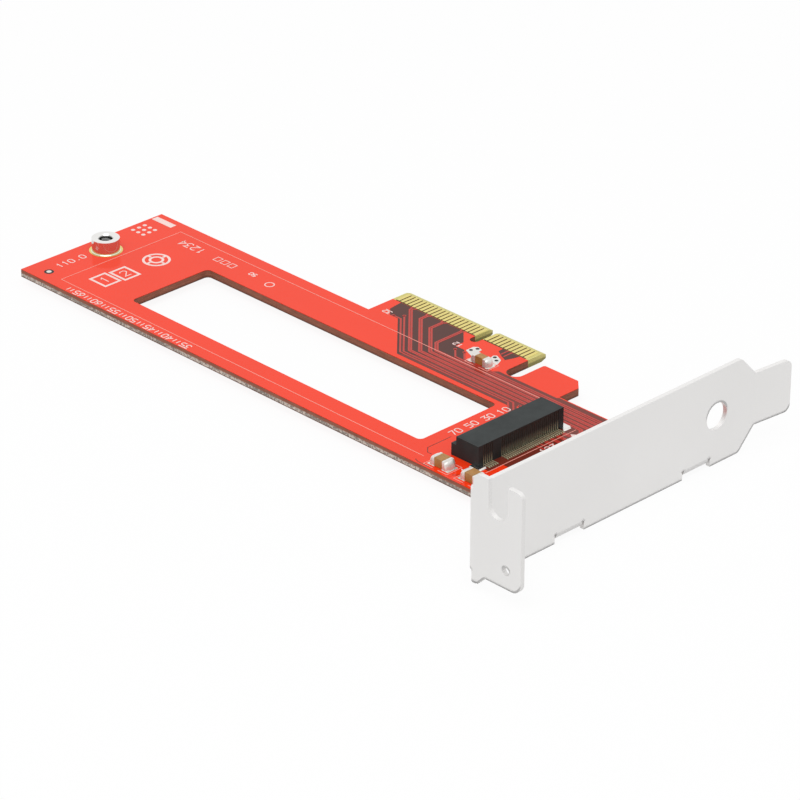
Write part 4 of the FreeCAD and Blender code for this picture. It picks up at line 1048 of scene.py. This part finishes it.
def tail_rows():
    """Places across the card of the socket's upper and lower contacts."""
    rows = []
    for low, high, near in (
        (upper_low, upper_high, NEAR_UPPER_CONTACTS), (lower_low, lower_high, NEAR_LOWER_CONTACTS)
    ):
        first, last = low.y + CONTACT_WIDTH / 2, high.y - CONTACT_WIDTH / 2
        far_rows = [first + CONTACT_PITCH * step for step in range(FAR_CONTACTS)]
        rows.append(far_rows + [last - CONTACT_PITCH * step for step in range(near)])
    return rows


def capacitor_ends(label):
    """Outer ends of a capacitor: middle of each end's foot, and the way it faces."""
    low, high = node_box(label + "_terminals")
    middle = (low.y + high.y) / 2
    return ((low.x, middle), (-1.0, 0.0)), ((high.x, middle), (1.0, 0.0))


class CardOperator:
    """Settings shared by the operators of this file."""

    bl_options = {"REGISTER", "UNDO"}


class CARD_OT_finish_board(CardOperator, bpy.types.Operator):
    """Give the circuit board its mask, bare laminate and routed edges"""

    bl_idname = "card.finish_board"
    bl_label = "Circuit board"

    def execute(self, context):
        dress("circuit_board", find_material("mask and laminate", make_board_material))
        return {"FINISHED"}


class CARD_OT_lay_copper(CardOperator, bpy.types.Operator):
    """Lay the dark areas without copper, the signal traces and the gaps between copper areas"""

    bl_idname = "card.lay_copper"
    bl_label = "Fields and traces"

    def execute(self, context):
        look = context.scene.card_board
        for name, outlines, material in (
            ("edge_fields", EDGE_FIELDS, mask("bare_mask")),
            ("lane_fields", LANE_FIELDS, mask("lane_mask")),
        ):
            fields = bmesh.new()
            for outline in outlines:
                add_prism(fields, outline, TOP - SUNK, level(look.field_height))
            new_piece(name, fields, material)

        gaps = bmesh.new()
        for points in CLEARANCES:
            add_ribbon(gaps, points, look.clearance_width / MM, TOP - SUNK, level(look.field_height))
        new_piece("copper_clearances", gaps, mask("lane_mask"))

        traces = bmesh.new()
        for route in trace_routes():
            add_ribbon(traces, route, look.trace_width / MM, TOP - SUNK, level(look.trace_height))
        new_piece("signal_traces", traces, mask("trace_mask"))
        return {"FINISHED"}


class CARD_OT_drill_vias(CardOperator, bpy.types.Operator):
    """Add the vias, the sighting mark of the board's corner and the tinned pads"""

    bl_idname = "card.drill_vias"
    bl_label = "Vias and pads"

    def execute(self, context):
        look = context.scene.card_board
        low, pad_top = TOP - SUNK, level(look.pad_height)
        radius, hole = look.via_radius / MM, look.via_hole / MM
        # The holes are near-black disks, painted shade inside each via's hole.
        rings, hole_shades = bmesh.new(), bmesh.new()
        for centre in VIAS:
            ring = circle(centre, (radius + hole) / 2)
            add_ribbon(rings, ring, radius - hole, low, level(look.trace_height), True)
            add_prism(hole_shades, circle(centre, hole * HOLE_SPREAD), low, TOP + 2 * SUNK)
        for centre in TINNED_VIAS:
            add_prism(hole_shades, circle(centre, hole * TINNED_HOLE_SPREAD), TOP, pad_top + SUNK)
        add_prism(hole_shades, circle(FIDUCIAL, FIDUCIAL_GAP, FINE_STEPS), low, TOP + SUNK)
        new_piece("via_rings", rings, mask("trace_mask"))
        new_piece("via_holes", hole_shades, find_material("via hole", make_hole_material))

        tail_pads = bmesh.new()
        upper_rows, lower_rows = tail_rows()
        for rows, edge, way in ((upper_rows, upper_low.x, -1.0), (lower_rows, lower_high.x, 1.0)):
            for row in rows:
                place = (edge - way * TAIL_PAD_INSET, row)
                add_prism(tail_pads, rectangle(place, *TAIL_PAD), low, pad_top)
        new_piece("tail_pads", tail_pads, metal("dull_tin"))

        pads = bmesh.new()
        add_prism(pads, circle(FIDUCIAL, FIDUCIAL_DOT, FINE_STEPS), low, pad_top)
        for outline in TINNED_AREAS:
            add_prism(pads, outline, low, pad_top)
        for label in CAPACITORS:
            box_low, box_high = node_box(label + "_terminals")
            width = box_high.y - box_low.y + END_PAD_MARGIN
            for (x, y), (way, _) in capacitor_ends(label):
                outline = rectangle((x + way * END_PAD_SHIFT, y), END_PAD_LENGTH, width)
                add_prism(pads, outline, low, pad_top - END_PAD_DROP)
        new_piece("tinned_pads", pads, metal("solder"))
        return {"FINISHED"}


class CARD_OT_print_marks(CardOperator, bpy.types.Operator):
    """Print the outlines, plain numbers, boxes and bars on the component side"""

    bl_idname = "card.print_marks"
    bl_label = "Print"

    def execute(self, context):
        look = context.scene.card_board
        low, high = TOP - SUNK, level(look.ink_height)
        line, stroke, bold = look.line_width / MM, look.figure_line / MM, look.mark_line / MM
        ink = find_material("print ink", make_ink_material, look.ink)
        thin_ink = find_material("thin print ink", make_ink_material, look.thin_ink)
        lines = bmesh.new()
        add_ribbon(lines, MODULE_OUTLINE, line, low, high)
        add_ribbon(lines, SOCKET_LINE, line, low, high)
        for label in CAPACITORS:
            for bracket in self.end_brackets(label):
                add_ribbon(lines, bracket, line, low, high)
        new_piece("printed_lines", lines, thin_ink)

        marks = bmesh.new()
        for text, middle, height, reading in NUMBERS:
            add_number(marks, text, middle, height, math.radians(reading), stroke, low, high)
        for middle, size_x, size_y in BOXES:
            thick = bold if size_x > BOLD_BOX else line
            add_ribbon(marks, rectangle(middle, size_x, size_y), thick, low, high, True)
        add_ribbon(marks, BAR, BAR_WIDTH, low, high)
        add_ribbon(marks, circle(TARGET_MARK, TARGET_RADIUS, FINEST_STEPS), bold, low, high, True)
        inner = circle(TARGET_MARK, TARGET_RADIUS * TARGET_INNER, FINE_STEPS)
        add_ribbon(marks, inner, bold, low, high, True)
        add_ribbon(marks, circle(SMALL_RING, SMALL_RING_RADIUS), stroke, low, high, True)
        for way in (Vector((1, 0)), Vector((-1, 0)), Vector((0, 1)), Vector((0, -1))):
            start, end = (Vector(TARGET_MARK) + way * reach * TARGET_RADIUS for reach in TARGET_SPOKE)
            add_ribbon(marks, (start, end), bold, low, high)
        for row in range(DOT_GRID_COUNT):
            for column in range(DOT_GRID_COUNT):
                centre = Vector(DOT_GRID) + DOT_GRID_STEP * Vector((row - 1, column - 1))
                add_prism(marks, circle(centre, DOT_RADIUS), low, high)
        tip = Vector(PIN_ONE_MARK)
        tails = [tip + Vector((-PIN_ONE_LENGTH, half)) for half in (PIN_ONE_HALF, -PIN_ONE_HALF)]
        add_prism(marks, (tip, *tails), low, high)
        for place in SCALE_NUMBERS:
            add_number(marks, str(place), (place, SCALE_LINE), SCALE_HEIGHT, 0.0, stroke, low, high)
            for tick in SCALE_TICKS:
                ends = [(place + tick, SCALE_LINE + end) for end in TICK_ENDS]
                add_ribbon(marks, ends, stroke, low, high)
        new_piece("printed_marks", marks, ink)
        return {"FINISHED"}

    @staticmethod
    def end_brackets(label):
        """Square brackets printed round the ends of a capacitor."""
        low, high = node_box(label + "_terminals")
        middle, half = (low + high) / 2, (high - low) / 2
        back, front = (middle.y + side * (half.y + END_BRACKET_SIDE) for side in (-1, 1))
        for side in (-1, 1):
            end = middle.x + side * (half.x + END_BRACKET_GAP)
            inner = middle.x + side * half.x * END_BRACKET_ARM
            yield (inner, back), (end, back), (end, front), (inner, front)


class CARD_OT_plate_contacts(CardOperator, bpy.types.Operator):
    """Give the edge contacts and the ring under the standoff their gold"""

    bl_idname = "card.plate_contacts"
    bl_label = "Edge contacts"

    def execute(self, context):
        for node in ("edge_contacts_component_side", "edge_contacts_solder_side", "standoff_pad"):
            dress(node, metal("gold"))
        return {"FINISHED"}


class CARD_OT_finish_bracket(CardOperator, bpy.types.Operator):
    """Give the bracket its satin plate and the screws their steel"""

    bl_idname = "card.finish_bracket"
    bl_label = "Bracket and screws"

    def execute(self, context):
        dress("bracket", find_material("satin bracket plate", make_bracket_material))
        dress("bracket_screws", metal("screw"))
        return {"FINISHED"}


class CARD_OT_fit_standoff(CardOperator, bpy.types.Operator):
    """Tin the standoff, cut its thread and solder its foot"""

    bl_idname = "card.fit_standoff"
    bl_label = "Standoff"

    def execute(self, context):
        look = context.scene.card_metal
        tin = find_material("turned tin", make_standoff_material)
        dress("module_standoff", tin)
        outer = (standoff_high.x - standoff_low.x) / 2
        foot = ring_high.z
        solder = bmesh.new()
        profile = [(outer + out, foot + rise) for out, rise in STANDOFF_FILLET]
        add_turned(solder, STANDOFF, profile)
        new_piece("standoff_solder", solder, metal("tin"), TURNED_SHADING)

        thread = bmesh.new()
        depth, pitch = look.thread_depth / MM, look.thread_pitch / MM
        add_thread(thread, STANDOFF, STANDOFF_BORE, depth, pitch, TOP, standoff_high.z - THREAD_END_GAP)
        new_piece("standoff_thread", thread, tin, TURNED_SHADING)
        return {"FINISHED"}


class CARD_OT_fit_socket(CardOperator, bpy.types.Operator):
    """Give the socket its black moulding, gold contacts and soldered tails"""

    bl_idname = "card.fit_socket"
    bl_label = "Module socket"

    def execute(self, context):
        dress("socket_housing", find_material("black moulding", make_plastic_material))
        for node in ("socket_upper_contacts", "socket_lower_contacts"):
            dress(node, find_material("spring gold", make_spring_material))
        dress("socket_hold_downs", metal("tin"))
        tails = bmesh.new()
        base = level(context.scene.card_board.pad_height) - SUNK
        upper_rows, lower_rows = tail_rows()
        for rows, edge, way in ((upper_rows, upper_low.x, -1.0), (lower_rows, lower_high.x, 1.0)):
            for row in rows:
                add_fillet(tails, (edge, row), (way, 0.0), *TAIL_FILLET, base, steps=3)
        new_piece("tail_solder", tails, metal("dull_tin"))

        feet = bmesh.new()
        low, high = node_box("socket_hold_downs")
        for y, way in ((low.y, -1.0), (high.y, 1.0)):
            end = (low.x, y - way * HOLD_DOWN_END_INSET)
            add_fillet(feet, end, (-1.0, 0.0), *HOLD_DOWN_END_FILLET, TOP)
            side = (low.x + HOLD_DOWN_SIDE_SHIFT, y)
            add_fillet(feet, side, (0.0, way), *HOLD_DOWN_SIDE_FILLET, TOP)
        new_piece("hold_down_solder", feet, metal("solder"), TURNED_SHADING)
        return {"FINISHED"}


class CARD_OT_fit_capacitors(CardOperator, bpy.types.Operator):
    """Give the capacitors their fired bodies, tinned ends and solder"""

    bl_idname = "card.fit_capacitors"
    bl_label = "Capacitors"

    def execute(self, context):
        look = context.scene.card_metal
        ceramic = find_material("fired ceramic", make_ceramic_material)
        solder = bmesh.new()
        base = level(context.scene.card_board.pad_height) - SUNK
        for label in CAPACITORS:
            dress(label + "_body", ceramic)
            dress(label + "_terminals", metal("solder"))
            low, high = node_box(label + "_terminals")
            width = high.y - low.y + 2 * look.solder_spread / MM
            height = SOLDER_CLIMB * (high.z - base)
            for foot, outward in capacitor_ends(label):
                add_blob(solder, foot, outward, width, height, look.solder_reach / MM, base)
        new_piece("capacitor_solder", solder, metal("solder"), SOLDER_SHADING)
        return {"FINISHED"}


class CARD_OT_set_stage(CardOperator, bpy.types.Operator):
    """Set the floor, the soft lights and the camera"""

    bl_idname = "card.set_stage"
    bl_label = "Stage"

    def execute(self, context):
        look = context.scene.card_stage
        make_floor(look)
        make_world(look)
        make_softbox(look)
        make_camera(look)
        context.scene.view_settings.view_transform = "Standard"
        return {"FINISHED"}


def seen_directly(graph):
    """One for rays from the camera, and for those that a mirror or glass sends on."""
    path = graph.add("ShaderNodeLightPath").outputs
    return graph.either(path["Is Camera Ray"], path["Is Glossy Ray"], path["Is Transmission Ray"])


def make_floor(look):
    """Pale floor that stays white to the eye and keeps a faint shadow."""
    material = bpy.data.materials.new("pale floor")
    material.use_nodes = True
    material.node_tree.nodes.clear()
    graph = Graph(material.node_tree)
    matte = graph.add("ShaderNodeBsdfDiffuse", {"Color": rgba(look.floor)})
    white = graph.add("ShaderNodeEmission", {"Color": WHITE, "Strength": 1.0})
    clear = graph.add("ShaderNodeBsdfTransparent")
    pale = graph.add("ShaderNodeMixShader")
    graph.feed(pale.inputs[0], graph.math("MULTIPLY", seen_directly(graph), look.floor_glow))
    graph.feed(pale.inputs[1], matte.outputs[0])
    graph.feed(pale.inputs[2], white.outputs[0])
    above = graph.add("ShaderNodeMixShader")
    graph.feed(above.inputs[0], graph.add("ShaderNodeNewGeometry").outputs["Backfacing"])
    graph.feed(above.inputs[1], pale.outputs[0])
    graph.feed(above.inputs[2], clear.outputs[0])
    graph.feed(graph.add("ShaderNodeOutputMaterial").inputs["Surface"], above.outputs[0])

    parts = bmesh.new()
    bmesh.ops.create_grid(parts, x_segments=1, y_segments=1, size=FLOOR_HALF)
    mesh = bpy.data.meshes.new("floor")
    parts.to_mesh(mesh)
    parts.free()
    mesh.materials.append(material)
    floor = bpy.data.objects.new("floor", mesh)
    floor.location.z = cad_box[0].z
    bpy.context.scene.collection.objects.link(floor)


def make_world(look):
    """White all round to the eye, and a softer ambient light on the card."""
    world = bpy.data.worlds.new("soft room")
    world.use_nodes = True
    world.node_tree.nodes.clear()
    graph = Graph(world.node_tree)
    strength = graph.remap(seen_directly(graph), 0.0, 1.0, look.ambient, 1.0)
    sky = graph.add("ShaderNodeBackground", {"Color": WHITE, "Strength": strength})
    graph.feed(graph.add("ShaderNodeOutputWorld").inputs["Surface"], sky.outputs[0])
    bpy.context.scene.world = world


def make_softbox(look):
    """Large soft light overhead, turned to the middle of the card."""
    lamp = bpy.data.lights.new("softbox", "AREA")
    lamp.size = look.softbox_size
    lamp.energy = look.key_power
    softbox = bpy.data.objects.new("softbox", lamp)
    softbox.location = SOFTBOX_PLACE
    softbox.rotation_mode = "QUATERNION"
    to_card = (cad_box[0] + cad_box[1]) / 2 - softbox.location
    softbox.rotation_quaternion = to_card.to_track_quat("-Z", "Y")
    bpy.context.scene.collection.objects.link(softbox)


def make_camera(look):
    """Camera at the viewing angle, turned a little about its own axis."""
    turn, rise = look.azimuth, look.elevation
    flat = Vector((math.sin(turn), -math.cos(turn), 0.0))
    back = flat * math.cos(rise) + Vector((0.0, 0.0, math.sin(rise)))
    right = Vector((math.cos(turn), math.sin(turn), 0.0))
    tilt = Matrix.Rotation(look.roll, 3, back)
    right, up = tilt @ right, tilt @ back.cross(right)
    aim = Vector((look.aim_x, look.aim_y, 0.0))
    eye = aim + back * look.distance + right * look.shift_right - up * look.shift_down
    data = bpy.data.cameras.new("camera")
    data.sensor_width = SENSOR_WIDTH
    data.lens = look.lens
    data.clip_start = CAMERA_NEAR
    data.clip_end = CAMERA_FAR
    camera = bpy.data.objects.new("camera", data)
    turned = Matrix((right, up, back)).transposed().to_4x4()
    camera.matrix_world = Matrix.Translation(eye) @ turned
    bpy.context.scene.collection.objects.link(camera)
    bpy.context.scene.camera = camera


OPERATORS = (
    CARD_OT_finish_board,
    CARD_OT_lay_copper,
    CARD_OT_drill_vias,
    CARD_OT_print_marks,
    CARD_OT_plate_contacts,
    CARD_OT_finish_bracket,
    CARD_OT_fit_standoff,
    CARD_OT_fit_socket,
    CARD_OT_fit_capacitors,
    CARD_OT_set_stage,
)
LOOKS = {
    "card_board": BoardLook,
    "card_metal": MetalLook,
    "card_parts": PartLook,
    "card_stage": StageLook,
}


class CARD_PT_looks(bpy.types.Panel):
    """Sidebar panel with one button for each group of pieces"""

    bl_idname = "CARD_PT_looks"
    bl_label = "Interface Card"
    bl_space_type = "VIEW_3D"
    bl_region_type = "UI"
    bl_category = "Interface Card"

    def draw(self, context):
        for operator in OPERATORS:
            self.layout.operator(operator.bl_idname)
        for name, look in LOOKS.items():
            box = self.layout.box()
            box.label(text=look.__name__)
            for setting in look.__annotations__:
                box.prop(getattr(context.scene, name), setting)


CLASSES = (*LOOKS.values(), *OPERATORS, CARD_PT_looks)


def register():
    for entry in CLASSES:
        bpy.utils.register_class(entry)
    for name, look in LOOKS.items():
        setattr(bpy.types.Scene, name, bpy.props.PointerProperty(type=look))


def unregister():
    for name in LOOKS:
        delattr(bpy.types.Scene, name)
    for entry in reversed(CLASSES):
        bpy.utils.unregister_class(entry)


def main():
    register()
    bpy.ops.card.finish_board()
    bpy.ops.card.lay_copper()
    bpy.ops.card.drill_vias()
    bpy.ops.card.print_marks()
    bpy.ops.card.plate_contacts()
    bpy.ops.card.finish_bracket()
    bpy.ops.card.fit_standoff()
    bpy.ops.card.fit_socket()
    bpy.ops.card.fit_capacitors()
    bpy.ops.card.set_stage()


if __name__ == "__main__":
    main()
